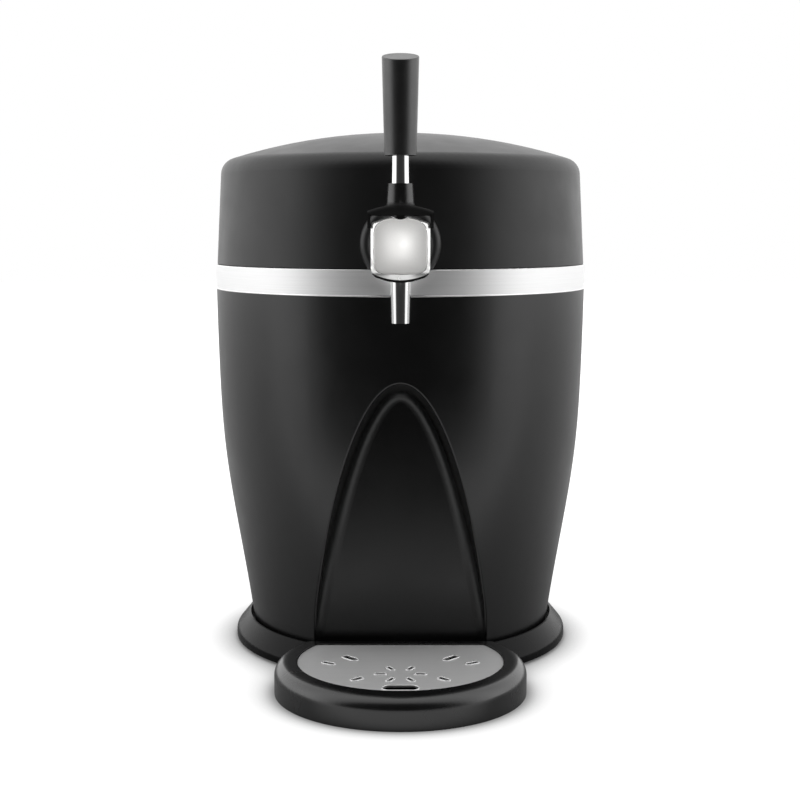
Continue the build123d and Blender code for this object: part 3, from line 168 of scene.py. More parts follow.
def mottle(finish, field, dark, light, low=0.35, high=0.65):
    """Drift the base colour between two close shades."""
    ramp = finish.node_tree.nodes.new("ShaderNodeValToRGB")
    first, last = ramp.color_ramp.elements
    first.position = low
    first.color = (*dark, 1.0)
    last.position = high
    last.color = (*light, 1.0)
    finish.node_tree.links.new(field, ramp.inputs["Fac"])
    feed(finish, "Base Color", ramp.outputs["Color"])


def vary_gloss(finish, field, low, high):
    """Let the roughness drift between two values."""
    feed(finish, "Roughness", ranged(finish.node_tree, field, noise_low, noise_high, low, high))


def emboss(finish, field, height, strength=0.5):
    """Raise the surface by a noise field. height is the grain's depth in metres."""
    bump = finish.node_tree.nodes.new("ShaderNodeBump")
    bump.inputs["Strength"].default_value = strength
    bump.inputs["Distance"].default_value = height
    finish.node_tree.links.new(field, bump.inputs["Height"])
    feed(finish, "Normal", bump.outputs["Normal"])


print("variation helpers ready")

# %% [markdown]
# ## Satin black plastics
#
# The barrel, the lid, the plinth, the tray and the rear housing are all moulded in satin black
# plastic. One function makes them, with a slightly different shade and gloss for each, as parts
# from different moulds have. The grain is fine enough to be seen only close up, and colour and
# gloss drift over patches of a few centimetres.

# %% Moulded plastics
def moulded_plastic(name, shade, gloss, drift=0.18, specular=0.5):
    """Satin moulded plastic with a fine mould grain. drift is how far its gloss wanders."""
    finish = new_finish(name, (shade, shade, shade * 1.06), gloss, specular=specular)
    dark = (shade * 0.82, shade * 0.82, shade * 0.87)
    light = (shade * 1.2, shade * 1.2, shade * 1.26)
    mottle(finish, noise_field(finish, 22.0, detail=3.0), dark, light)
    patches = noise_field(finish, 35.0, detail=5.0)
    vary_gloss(finish, patches, gloss * (1 - drift), gloss * (1 + drift))
    emboss(finish, noise_field(finish, 1400.0, detail=2.0), 0.03 * mm, 0.35)
    return finish


finishes = {}
finishes["body_black"] = moulded_plastic("barrel_plastic", 0.003, 0.31, drift=0.1, specular=0.6)
finishes["lid_black"] = moulded_plastic("lid_plastic", 0.003, 0.42, drift=0.08)
finishes["plinth_black"] = moulded_plastic("plinth_plastic", 0.003, 0.27, specular=0.1)
finishes["tray_black"] = moulded_plastic("tray_plastic", 0.004, 0.25, specular=0.74)
finishes["housing_black"] = moulded_plastic("housing_plastic", 0.01, 0.42)
finishes["deck_black"] = moulded_plastic("deck_plastic", 0.02, 0.5)
finishes["fan_black"] = moulded_plastic("fan_plastic", 0.015, 0.45)
finishes["inlet_black"] = moulded_plastic("inlet_plastic", 0.012, 0.2)
finishes["switch_black"] = moulded_plastic("rocker_plastic", 0.014, 0.16)
finishes["liner_grey"] = moulded_plastic("liner_plastic", 0.38, 0.45)
print("moulded plastics:", len(finishes))

# %% [markdown]
# ## Flaked paints
#
# The grip and the tap's black parts wear a soft-touch paint with fine metal flakes in it. It could
# be a plastic with a clear coat, but a dark metal with a soft gloss is simpler and looks alike.
# Around the tap's face, right below the shiny shoulder, this paint turns matt. Its colour is
# darkened there as painted shade, for the front that faces the dark side of the studio. A second
# material would need its own faces, but a CAD piece's mesh stays as it is. So this paint fades
# from one look to the other, by the height that the Object coordinates give.

# %% Soft-touch paint on the handle and the tap
matt_roughness = 0.62
matt_specular = 0.1


def soft_touch(name, shade, gloss):
    """Dark paint with metal flakes: it mirrors more than plain plastic, but softly."""
    finish = new_finish(name, grey(shade), gloss, metallic=0.92)
    flakes = noise_field(finish, 5200.0, detail=1.0)
    mottle(finish, flakes, grey(shade * 0.85), grey(shade * 1.15), 0.4, 0.6)
    vary_gloss(finish, noise_field(finish, 60.0), gloss * 0.9, gloss * 1.12)
    emboss(finish, flakes, 0.01 * mm, 0.3)
    return finish


def fade_to_painted_shade(finish, low, high, shade):
    """Fade the flakes out between two heights. Below, the paint is matt, with painted shade: shade
    times as bright.
    """
    tree = finish.node_tree
    inputs = tree.nodes["Principled BSDF"].inputs
    inputs["Specular IOR Level"].default_value = matt_specular
    height = axes(tree, tree.nodes["place"].outputs["Object"])["Z"]
    metallic = inputs["Metallic"].default_value
    feed(finish, "Metallic", ranged(tree, height, low, high, 0.0, metallic))
    # Painted shade: below the low height the colour is scaled down to shade times as bright.
    painted_shade_colour = tree.nodes.new("ShaderNodeVectorMath")
    painted_shade_colour.operation = "SCALE"
    tree.links.new(inputs["Base Color"].links[0].from_socket, painted_shade_colour.inputs["Vector"])
    tree.links.new(ranged(tree, height, low, high, shade, 1.0), painted_shade_colour.inputs["Scale"])
    feed(finish, "Base Color", painted_shade_colour.outputs["Vector"])
    matt = ranged(tree, height, low, high, matt_roughness, 0.0)
    gloss = inputs["Roughness"].links[0].from_socket
    feed(finish, "Roughness", combined(tree, "MAXIMUM", gloss, matt))


finishes["grip_black"] = soft_touch("handle_paint", 0.088, 0.4)
finishes["tap_black"] = soft_touch("tap_paint", 0.07, 0.26)
# Painted shade on the tap's front: below 319 mm its paint is darkened to 0.16 and turns matt.
fade_to_painted_shade(finishes["tap_black"], low=319.0 * mm, high=322.0 * mm, shade=0.16)
print("handle and tap paints ready, finishes so far:", len(finishes))

# %% [markdown]
# ## Brushed metals
#
# The band around the rim is brushed along its length, so its scratches run level all the way
# round. Squeezing a noise hard along Z and hardly at all along X and Y gives such level streaks on
# any upright round wall. The drip plate is brushed from side to side, so its noise is squeezed
# along Y. Streaks change both gloss and height. Both carry a clear satin lacquer, which scatters
# part of the light. A lower metallic value stands for it, and keeps them pale where they face the
# dark side of the studio.

# %% Brushed and drawn metals
def brushed_metal(name, tone, gloss, stretch, depth=0.012 * mm, metallic=1.0, contrast=0.12):
    """Metal with long fine scratches. stretch holds waves per metre along each axis."""
    finish = new_finish(name, grey(tone), gloss, metallic=metallic)
    streaks = noise_field(finish, 1.0, stretch, detail=6.0, roughness=0.7)
    dark = grey(tone * (1 - contrast))
    light = grey(min(1.0, tone * (1 + contrast)))
    mottle(finish, streaks, dark, light, noise_low, noise_high)
    vary_gloss(finish, streaks, gloss * (1 - 2 * contrast), gloss * (1 + 2 * contrast))
    emboss(finish, streaks, depth)
    return finish


finishes["band_steel"] = brushed_metal(
    "band_brushed_steel", 0.96, 0.46, (12.0, 12.0, 3200.0),
    depth=0.004 * mm, metallic=0.7, contrast=0.05,
)
finishes["drip_steel"] = brushed_metal(
    "plate_brushed_steel", 0.68, 0.42, (14.0, 2600.0, 14.0),
    depth=0.006 * mm, metallic=0.5, contrast=0.06,
)
finishes["screw_steel"] = brushed_metal(
    "zinc_plated_steel", 0.5, 0.35, (900.0, 900.0, 900.0), depth=0.02 * mm
)
finishes["sensor_steel"] = brushed_metal("probe_steel", 0.58, 0.3, (30.0, 1500.0, 1500.0))
finishes["valve_steel"] = brushed_metal("valve_steel", 0.6, 0.25, (1200.0, 60.0, 1200.0))
finishes["well_aluminium"] = brushed_metal("drawn_aluminium", 0.72, 0.34, (40.0, 40.0, 1500.0))
finishes["sink_aluminium"] = brushed_metal("extruded_aluminium", 0.66, 0.4, (1600.0, 40.0, 1600.0))
print("brushed metals ready, finishes so far:", len(finishes))

# %% [markdown]
# ## Chrome and brass
#
# Chrome plating over plastic is almost a mirror, but it has faint waves from the part beneath and
# a few dull spots. Brass is the same idea in yellow. The chromed frame of the tap's face is less
# metallic than the spout, which keeps a little white in it where it mirrors something dark.

# %% Bright plating
def bright_plating(name, colour, gloss, metallic=1.0):
    """Near-mirror plating with faint waves and dull specks."""
    finish = new_finish(name, colour, gloss, metallic=metallic)
    vary_gloss(finish, noise_field(finish, 160.0, detail=8.0), gloss * 0.5, gloss * 2.2)
    emboss(finish, noise_field(finish, 45.0, detail=1.0), 0.04 * mm, 0.25)
    return finish


finishes["cap_chrome"] = bright_plating(
    "cap_chrome_plating", (0.97, 0.97, 0.96), 0.14, metallic=0.65
)
finishes["spout_chrome"] = bright_plating("spout_chrome_plating", grey(0.8), 0.06)
finishes["nut_brass"] = bright_plating("machined_brass", (0.72, 0.52, 0.24), 0.22)
print("plated finishes ready, finishes so far:", len(finishes))

# %% [markdown]
# ## Paint, rubber, foam and the small finishes
#
# The plate in the tap's face is painted, and sprayed paint dries with a faint orange-peel surface.
# Rubber and foam are matte: foam has open cells, which a Voronoi pattern gives better than noise.
# The circuit board has a lacquer with faint copper traces under it, and the ceramic is plain.

# %% Satin paint of the tap's face
def satin_paint(name, colour, gloss):
    """Pale warm satin paint with a fine orange-peel surface."""
    finish = new_finish(name, colour, gloss, metallic=0.1)
    dark = tuple(value * 0.985 for value in colour)
    light = tuple(min(1.0, value * 1.01) for value in colour)
    specks = noise_field(finish, 900.0, detail=2.0)
    mottle(finish, specks, dark, light, noise_low, noise_high)
    vary_gloss(finish, noise_field(finish, 90.0, detail=2.0), gloss * 0.9, gloss * 1.1)
    emboss(finish, noise_field(finish, 2200.0, detail=1.0), 0.004 * mm, 0.3)
    return finish


finishes["plate_satin"] = satin_paint("face_satin_paint", (0.83, 0.822, 0.805), 0.42)
print("satin paint ready, finishes so far:", len(finishes))

# %% Soft and matte finishes
def cell_field(finish, scale):
    """Rounded cells, as in foam. scale counts cells per metre."""
    tree = finish.node_tree
    cells = tree.nodes.new("ShaderNodeTexVoronoi")
    cells.inputs["Scale"].default_value = scale
    tree.links.new(tree.nodes["place"].outputs["Object"], cells.inputs["Vector"])
    return cells.outputs["Distance"]


def soft_rubber(name, shade):
    """Dull dark rubber with a slightly uneven skin."""
    finish = new_finish(name, grey(shade), 0.7, specular=0.3)
    mottle(finish, noise_field(finish, 60.0), grey(shade * 0.8), grey(shade * 1.3))
    emboss(finish, noise_field(finish, 900.0), 0.05 * mm)
    return finish


def rigid_foam(name, shade):
    """Pale foam with open cells."""
    finish = new_finish(name, (shade, shade, shade * 0.98), 0.9, specular=0.2)
    cells = cell_field(finish, 700.0)
    mottle(finish, cells, grey(shade * 0.7), grey(shade * 1.1), 0.1, 0.6)
    emboss(finish, cells, 0.4 * mm, 0.6)
    return finish


finishes["foot_rubber"] = soft_rubber("foot_rubber", 0.022)
finishes["seal_rubber"] = soft_rubber("seal_rubber", 0.03)
finishes["foam_grey"] = rigid_foam("grey_foam", 0.5)
print("soft finishes ready, finishes so far:", len(finishes))

# %% Board and ceramic
def lacquered_board(name):
    """Green lacquer over paler traces that run mostly upright."""
    finish = new_finish(name, (0.01, 0.08, 0.03), 0.3)
    traces = noise_field(finish, 260.0, (1.0, 1.0, 0.15), detail=1.0)
    mottle(finish, traces, (0.006, 0.06, 0.02), (0.02, 0.13, 0.05), 0.48, 0.52)
    emboss(finish, traces, 0.05 * mm, 0.4)
    return finish


def glazed_ceramic(name):
    """White ceramic, as on the faces of the cooling module."""
    finish = new_finish(name, (0.8, 0.8, 0.76), 0.4)
    mottle(finish, noise_field(finish, 120.0), (0.72, 0.72, 0.68), (0.86, 0.86, 0.83))
    emboss(finish, noise_field(finish, 1500.0), 0.02 * mm)
    return finish


finishes["board_green"] = lacquered_board("lacquered_board")
finishes["ceramic_white"] = glazed_ceramic("glazed_ceramic")
print("all finishes:", len(finishes))

# %% [markdown]
# ## Dressing the CAD pieces
#
# The record says which material slot each CAD piece takes. Filling the slot changes only the
# finish, never the mesh, so the pieces stay exactly where the CAD put them.

# %% Give every CAD piece its finish
slot_of = {entry["node"]: entry["material_slot"] for entry in frame["record"]["subparts"]}
for node, piece in frame["nodes"].items():
    finish = finishes[slot_of[node]]
    if not piece.data.materials:
        piece.data.materials.append(finish)
    for index in range(len(piece.data.materials)):
        piece.data.materials[index] = finish
print("dressed pieces:", len(frame["nodes"]))

# %% [markdown]
# ## Outlines of the tap's face
#
# The tap's face is a chromed frame with a satin plate in it. Both have straight sides, an arched
# top and foot, and rounded corners, and both make way for the lever with a round notch at the
# top. One function draws such an outline from seven sizes. A smaller outline, moved in by some
# distance, gets smaller rounds too, as a wall of even thickness would have.

# %% Draw an outline
corner_steps = 8
edge_steps = 14


def bend(start, corner, end):
    """Points of a smooth corner from start to end, without the end itself."""
    start, corner, end = Vector(start), Vector(corner), Vector(end)
    points = []
    for step in range(corner_steps):
        t = step / corner_steps
        points.append(start * (1 - t) ** 2 + corner * 2 * t * (1 - t) + end * t * t)
    return points


def upright(x, start, end):
    """Points of an upright edge from start to end, without the end itself."""
    shares = [step / edge_steps for step in range(edge_steps)]
    return [Vector((x, start * (1 - share) + end * share)) for share in shares]


def arched_ring(half_width, low, high, low_arch, high_arch, low_round, high_round):
    """Outline in X and Z in mm, counter-clockwise from the lower left."""
    def foot(x):
        return low + low_arch * (x / half_width) ** 2

    def top(x):
        return high - high_arch * (x / half_width) ** 2

    flat_low, flat_high = half_width - low_round, half_width - high_round
    corner_low, corner_high = foot(half_width), top(half_width)
    side_low, side_high = corner_low + low_round, corner_high - high_round
    foot_end, top_end = foot(flat_low), top(flat_high)
    points = []
    for step in range(edge_steps):
        x = -flat_low + 2 * flat_low * step / edge_steps
        points.append(Vector((x, foot(x))))
    points += bend((flat_low, foot_end), (half_width, corner_low), (half_width, side_low))
    points += upright(half_width, side_low, side_high)
    points += bend((half_width, side_high), (half_width, corner_high), (flat_high, top_end))
    for step in range(2 * edge_steps):
        x = flat_high - flat_high * step / edge_steps
        points.append(Vector((x, top(x))))
    points += bend((-flat_high, top_end), (-half_width, corner_high), (-half_width, side_high))
    points += upright(-half_width, side_high, side_low)
    points += bend((-half_width, side_low), (-half_width, corner_low), (-flat_low, foot_end))
    return points


print("points in an outline:", 5 * edge_steps + 4 * corner_steps)

# %% Outlines of the frame and the plate
notch_height = 317.9  # the notch's middle lies above the frame
notch_radius = 7.0
least_round = 0.6
cap_sizes = {
    "half_width": 18.5, "low": 273.3, "high": 313.2,
    "low_arch": 4.4, "high_arch": 4.1, "low_round": 3.4, "high_round": 3.0,
}
plate_sizes = {
    "half_width": 16.6, "low": 277.1, "high": 312.0,
    "low_arch": 0.9, "high_arch": 3.1, "low_round": 6.5, "high_round": 7.8,
}


def notched(points):
    """Lower the points above the lever's notch down to its edge."""
    result = []
    for point in points:
        z = point.y
        if abs(point.x) < notch_radius and z > notch_height - notch_radius:
            z = min(z, notch_height - math.sqrt(notch_radius ** 2 - point.x ** 2))
        result.append(Vector((point.x, z)))
    return result


def outline(sizes, inset):
    """Outline of these sizes with its notch, moved in by inset."""
    moved = dict(sizes)
    moved["half_width"] -= inset
    moved["low"] += inset
    moved["high"] -= inset
    for name in ("low_round", "high_round"):
        moved[name] = max(moved[name] - inset, least_round)
    return notched(arched_ring(**moved))


print("points in the frame's outline:", len(outline(cap_sizes, 0.0)))

# %% [markdown]
# ## Building pieces from rings
#
# The frame and the plate change from one outline to another towards their front, so each is built
# as a stack of rings. Every ring has the same number of points in the same order, and neighbouring
# rings are joined by four-sided faces. Where a stack closes on itself, or has a face at both ends,
# the mesh is watertight, and `bmesh` can turn all its faces outwards.

# %% Stacks of rings
def add_object(name, data):
    """New object in the scene, at the origin."""
    added = bpy.data.objects.new(name, data)
    bpy.context.scene.collection.objects.link(added)
    return added


def ring_stack(name, rings, joined):
    """Mesh from rings of 3-D points in mm. joined closes the last ring onto the first."""
    mesh = bpy.data.meshes.new(name)
    builder = bmesh.new()
    rows = [[builder.verts.new(point * mm) for point in ring] for ring in rings]
    count = len(rows[0])
    pairs = list(zip(rows, rows[1:]))
    if joined:
        pairs.append((rows[-1], rows[0]))
    for row, following in pairs:
        for index in range(count):
            after = (index + 1) % count
            builder.faces.new((row[index], row[after], following[after], following[index]))
    if not joined:
        builder.faces.new(rows[0])
        builder.faces.new(rows[-1])
    bmesh.ops.recalc_face_normals(builder, faces=builder.faces)
    builder.to_mesh(mesh)
    builder.free()
    for face in mesh.polygons:
        face.use_smooth = True
    return add_object(name, mesh)


def at_depth(points, distance):
    """Outline points placed in front of the barrel's axis, at y = -distance."""
    return [Vector((point.x, -distance, point.y)) for point in points]


print("ring stacks ready")

# %% [markdown]
# ## Room for the lever
#
# The lever tips forward over the tap's face, and its thin web passes through the notch. At the
# lever's limit the web's edge leans forward right behind the frame and the plate. The middle points
# of every ring are kept in front of that edge, so that nothing is cut at any angle of the lever.

# %% Keep rings clear of the lever's web
web_reach = 4.5                  # half the width that the web needs, in mm
web_y, web_z = -159.75, 298.0    # a point on the web's edge with the lever at its limit, in mm
web_lean = 0.649                 # how far that edge comes forward for each mm of height


def clear_of_web(ring):
    """Ring whose middle points lie in front of the lever's web at its limit."""
    result = []
    for point in ring:
        y = point.y
        if abs(point.x) < web_reach:
            y = min(y, web_y - web_lean * (point.z - web_z))
        result.append(Vector((point.x, y, point.z)))
    return result


web_top = web_y - web_lean * (cap_sizes["high"] - web_z)
print("web's edge at the frame's top, Y in mm:", round(web_top, 1))

# %% [markdown]
# ## The chromed frame
#
# The frame's front slopes outwards from the plate to its edge. The slope keeps nearly the same
# angle all round, so it is deeper where the frame is wider, at the foot and in the corners. A flat
# frame would only mirror the dark room behind the camera. A slope mirrors the bright sides, and
# that is why the real frame looks white.

# %% Chromed frame
frame_front = 167.95                # depths are in mm in front of the barrel's axis
wall_rear, wall_middle = 158.0, 161.5
seat_front, seat_rear = 167.0, 166.3
seat_inset, wall_inset = 1.3, 1.4
slope_foot, slope_top = 273.0, 313.0  # heights between which the slope steepens a little
slope_low, slope_high = 0.6, 0.64
slope_curve = 1.1
deepest_slope = 4.0


def sloped(outer, inner, share):
    """Ring on the slope, a share of the way from the outer outline up to the inner one."""
    ring = []
    for low_point, high_point in zip(outer, inner):
        place = low_point * (1 - share) + high_point * share
        width = (high_point - low_point).length
        rise = (low_point.y - slope_foot) / (slope_top - slope_foot)
        slope = slope_low * (1 - rise) + slope_high * rise
        drop = min(deepest_slope, slope * width) * (1 - share) ** slope_curve
        ring.append(Vector((place.x, drop - frame_front, place.y)))
    return ring


outer_edge = outline(cap_sizes, 0.0)
seat_edge = outline(plate_sizes, -0.15)
frame_rings = [at_depth(outer_edge, wall_rear), at_depth(outer_edge, wall_middle)]
for share in (0.0, 0.06, 0.2, 0.4, 0.6, 0.8, 0.95):
    frame_rings.append(sloped(outer_edge, seat_edge, share))
frame_rings += [
    at_depth(seat_edge, frame_front),
    at_depth(seat_edge, seat_front),
    at_depth(outline(plate_sizes, seat_inset), seat_front),
    at_depth(outline(plate_sizes, seat_inset), seat_rear),
    at_depth(outline(cap_sizes, wall_inset), wall_middle),
    at_depth(outline(cap_sizes, wall_inset), wall_rear),
]
chrome_frame = ring_stack("chrome_frame", [clear_of_web(ring) for ring in frame_rings], True)
chrome_frame.data.materials.append(finishes["cap_chrome"])
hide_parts("face_cap")
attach(chrome_frame, "cabinet")
print("frame faces:", len(chrome_frame.data.polygons))

# %% [markdown]
# ## The satin plate
#
# The plate is a shallow dome in satin paint. It could be one flat face, but a flat face has one
# shade, and a dome turns gently from light to dark. Its rings shrink evenly towards its middle.

# %% Satin plate
plate_edge = ((0.5, 167.1), (0.1, 167.15), (0.0, 167.5), (0.05, 167.9), (0.3, 168.15))
plate_rings = [at_depth(outline(plate_sizes, inset), depth) for inset, depth in plate_edge]
rim = outline(plate_sizes, 0.6)
rim_depth = 168.25
middle = Vector((0.0, 294.4))
dome_rise = 1.9
dome_steps = 24
half_wide, half_tall = 17.0, 18.0


def domed(points):
    """Ring on the dome: its height falls off evenly from the middle to the rim."""
    ring = []
    for point in points:
        across = min(1.0, abs(point.x) / half_wide)
        up = min(1.0, abs(point.y - middle.y) / half_tall)
        lift = dome_rise * (1 - across ** 2) * (1 - up ** 2)
        ring.append(Vector((point.x, -rim_depth - lift, point.y)))
    return ring


for step in range(dome_steps):
    share = step / dome_steps
    plate_rings.append(domed([point * (1 - share) + middle * share for point in rim]))
satin_plate = ring_stack("satin_plate", [clear_of_web(ring) for ring in plate_rings], False)
satin_plate.data.materials.append(finishes["plate_satin"])
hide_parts("face_plate")
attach(satin_plate, "cabinet")
print("plate faces:", len(satin_plate.data.polygons))

# %% [markdown]
# ## Beads with Geometry Nodes
#
# Every slot in the drip plate has a small rolled rim, the bright band has a bead along its lower
# edge, and a dark lip shows under the tap's frame. Each is one round profile swept along a path. A
# Geometry Nodes tree does that: it turns a mesh of plain edges into curves and sweeps a circle
# along them. The profile's radius is an input of the modifier, so one tree serves all of them, and
# the valve's spring too.

# %% A tree that sweeps a bead along edges
def bead_tree():
    """Geometry Nodes tree: edges in, swept beads out."""
    tree = bpy.data.node_groups.new("swept_bead", "GeometryNodeTree")
    interface = tree.interface
    interface.new_socket("Geometry", in_out="INPUT", socket_type="NodeSocketGeometry")
    radius = interface.new_socket("Bead radius", in_out="INPUT", socket_type="NodeSocketFloat")
    radius.default_value = 0.5 * mm
    sides = interface.new_socket("Bead sides", in_out="INPUT", socket_type="NodeSocketInt")
    sides.default_value = 12
    interface.new_socket("Finish", in_out="INPUT", socket_type="NodeSocketMaterial")
    interface.new_socket("Geometry", in_out="OUTPUT", socket_type="NodeSocketGeometry")
    entry = tree.nodes.new("NodeGroupInput")
    leave = tree.nodes.new("NodeGroupOutput")
    curves = tree.nodes.new("GeometryNodeMeshToCurve")
    profile = tree.nodes.new("GeometryNodeCurvePrimitiveCircle")
    sweep = tree.nodes.new("GeometryNodeCurveToMesh")
    sweep.inputs["Fill Caps"].default_value = True
    smooth = tree.nodes.new("GeometryNodeSetShadeSmooth")
    realize = tree.nodes.new("GeometryNodeRealizeInstances")
    paint = tree.nodes.new("GeometryNodeSetMaterial")
    links = tree.links
    links.new(entry.outputs["Geometry"], curves.inputs["Mesh"])
    links.new(entry.outputs["Bead radius"], profile.inputs["Radius"])
    links.new(entry.outputs["Bead sides"], profile.inputs["Resolution"])
    links.new(curves.outputs["Curve"], sweep.inputs["Curve"])
    links.new(profile.outputs["Curve"], sweep.inputs["Profile Curve"])
    links.new(sweep.outputs["Mesh"], smooth.inputs["Geometry"])
    links.new(smooth.outputs["Geometry"], realize.inputs["Geometry"])
    links.new(realize.outputs["Geometry"], paint.inputs["Geometry"])
    links.new(entry.outputs["Finish"], paint.inputs["Material"])
    links.new(paint.outputs["Geometry"], leave.inputs["Geometry"])
    return tree


beads = bead_tree()
bead_inputs = [item for item in beads.interface.items_tree if item.in_out == "INPUT"]
print("tree inputs:", [item.name for item in bead_inputs])

# %% [markdown]
# ## From a path to a plain mesh
#
# The tree hangs on a helper object that holds only the path. Its inputs are set through the
# sockets' identifiers, because their names are only labels. The swept result is then copied out as
# a plain mesh, and the helper goes away again. So the piece that stays carries no modifier.

# %% Sweep beads along paths
def swept(name, paths, radius, finish, sides=12, closed=True):
    """Plain mesh of beads along paths of points, made with the tree."""
    path = bpy.data.meshes.new(name + "_path")
    points = []
    edges = []
    for places in paths:
        start = len(points)
        points += places
        edges += [(start + index, start + index + 1) for index in range(len(places) - 1)]
        if closed:
            edges.append((start + len(places) - 1, start))
    path.from_pydata(points, edges, [])
    maker = add_object(name + "_maker", path)
    modifier = maker.modifiers.new("bead", "NODES")
    modifier.node_group = beads
    values = {"Bead radius": radius, "Bead sides": sides, "Finish": finish}
    for item in bead_inputs:
        if item.name in values:
            modifier[item.identifier] = values[item.name]
    view = bpy.context.evaluated_depsgraph_get()
    mesh = bpy.data.meshes.new_from_object(maker.evaluated_get(view), depsgraph=view)
    mesh.name = name
    maker.modifiers.clear()
    bpy.data.objects.remove(maker)
    bpy.data.meshes.remove(path)
    return add_object(name, mesh)


print("beads can be swept")

# %% [markdown]
# ## Rims of the drip plate's slots
#
# Slots punched in sheet metal have a rolled rim, so that a cloth or a finger doesn't catch. The
# places and sizes of the slots are those of the CAD plate. The rims lie on its upper face and ride
# on the plate, so they lift out with it.

# %% Slot rims
plate_top = 20.0 * mm
tray_middle = -140.3
slot_steps = 14
ring_y, ring_radius, ring_slots = -28.0, 13.0, 6
# Each slot has X and Y from the tray's middle, a turn in degrees, a length and a width, in mm.
slot_places = [(0.0, -55.1, 0.0, 23.5, 9.5)]
for side in (-1, 1):
    slot_places.append((side * 33.6, 5.0, side * 45.0, 13.5, 5.6))
    slot_places.append((side * 47.5, -5.8, side * 30.0, 10.0, 4.2))
    slot_places.append((side * 27.7, -38.0, side * -40.0, 9.5, 4.6))
for number in range(ring_slots):
    degrees = 360.0 / ring_slots * number
    turn = math.radians(degrees)
    x, y = ring_radius * math.cos(turn), ring_y + ring_radius * math.sin(turn)
    slot_places.append((x, y, degrees, 8.0, 3.6))


def slot_path(x, y, degrees, length, width):
    """Closed path around a long slot, at the plate's upper face."""
    turn = Matrix.Rotation(math.radians(degrees), 2)
    reach = (length - width) / 2
    points = []
    for side in (1, -1):
        for step in range(slot_steps + 1):
            angle = math.pi * (step / slot_steps - 0.5)
            across = side * (reach + width / 2 * math.cos(angle))
            turned = turn @ Vector((across, side * width / 2 * math.sin(angle)))
            place = ((x + turned.x) * mm, (tray_middle + y + turned.y) * mm, plate_top)
            points.append(Vector(place))
    return points


slot_paths = [slot_path(*place) for place in slot_places]
slot_rims = swept("slot_rims", slot_paths, 0.55 * mm, finishes["drip_steel"])
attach(slot_rims, "plate")
print("rim faces:", len(slot_rims.data.polygons))

# %% [markdown]
# ## Two edges that catch the eye
#
# The bright band ends in a bead along its lower edge, a thin line of light all round. Under the
# chromed frame it is the other way about: a lip in the tap's dark paint makes a dark edge there.
# It comes in two halves beside the spout, and follows the arch of the frame's foot.

# %% Bead along the band's lower edge
band_low, band_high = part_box("trim_band")
bead_radius = 0.6 * mm
bead_steps = 180
bead_reach = band_high.x - 0.35 * mm
bead_z = band_low.z + 0.5 * mm
band_path = []
for step in range(bead_steps):
    turn = 2 * math.pi * step / bead_steps
    band_path.append(Vector((bead_reach * math.cos(turn), bead_reach * math.sin(turn), bead_z)))
band_bead = swept("band_bead", [band_path], bead_radius, finishes["spout_chrome"])
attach(band_bead, "cabinet")
print("bead faces:", len(band_bead.data.polygons))

# %% Dark lip under the chromed frame
lip_start, lip_length = 7.0, 10.2  # from beside the spout outwards, in mm
lip_depth, lip_drop = 159.6, 0.55
curl_start, curl_length, curl_rise = 14.5, 2.7, 1.1
lip_steps = 32


def lip_height(x):
    """Height of the lip's middle: just below the frame's foot, and curled up at its outer end."""
    arch = cap_sizes["low_arch"] * (x / cap_sizes["half_width"]) ** 2
    curl = curl_rise * max(0.0, (abs(x) - curl_start) / curl_length) ** 2
    return cap_sizes["low"] - lip_drop + arch + curl


lip_paths = []
for side in (-1, 1):
    places = [side * (lip_start + lip_length * step / lip_steps) for step in range(lip_steps + 1)]
    lip_paths.append([Vector((x, -lip_depth, lip_height(x))) * mm for x in places])
frame_lip = swept("frame_lip", lip_paths, 1.0 * mm, finishes["tap_black"], closed=False)
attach(frame_lip, "cabinet")
print("lip faces:", len(frame_lip.data.polygons))

# %% [markdown]
# ## The valve's spring
#
# The valve's spring sits between the moving plunger and the fixed tail. It is a coil of wire swept
# along a helix, and it rides on the cabinet as one rigid piece. A rigid coil would cut through the
# plunger when the lever opens the valve.

# %% Valve spring
coil_low, coil_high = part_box("valve_spring")
wire = 0.5 * mm  # radius; swept a little thinner, so that the coil stays in the CAD spring's box
wire_share = 0.98
turns = 7
coil_steps = turns * 28
coil_radius = (coil_high.x - coil_low.x) / 2 - wire
coil_z = (coil_high.z + coil_low.z) / 2
coil_front = coil_low.y + wire
coil_rear = coil_high.y - wire
coil_path = []
for step in range(coil_steps + 1):
    share = step / coil_steps
    turn = 2 * math.pi * turns * share
    y = coil_front + (coil_rear - coil_front) * share
    z = coil_z + coil_radius * math.sin(turn)
    coil_path.append(Vector((coil_radius * math.cos(turn), y, z)))
spring = swept(
    "wound_spring", [coil_path], wire * wire_share, finishes["valve_steel"], sides=10, closed=False
)
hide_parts("valve_spring")
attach(spring, "cabinet")
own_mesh(spring)

# %% [markdown]
# ## The floor
#
# The floor is a dull grey that catches the shadows. It is darker near the middle, so that the black
# plastic above it stays black. For the camera it also glows, which makes it as white as the
# backdrop. The glow fades close to what stands on it, which paints a dark contact shadow there, on
# top of the real shadows. In a strip in front of the tray, shiny surfaces see part of that glow
# too, as a painted reflection: the foot of the chromed frame faces down and has nothing else to
# mirror.

# %% Floor
grey_middle, grey_sides = 0.34, 0.5
grey_fade = (0.12, 0.4)         # from the one to the other at these distances aside, in metres
glow_fade = (0.5, 1.0)          # the glow grows with the share of open sky between these values
glow_in_painted_shadow = 0.1          # share of the glow that is left where the sky is covered
strip_front = (-0.45, -0.36)    # the strip starts and ends softly between these Y, in metres
strip_rear = (-0.2, -0.23)
strip_share = 0.7


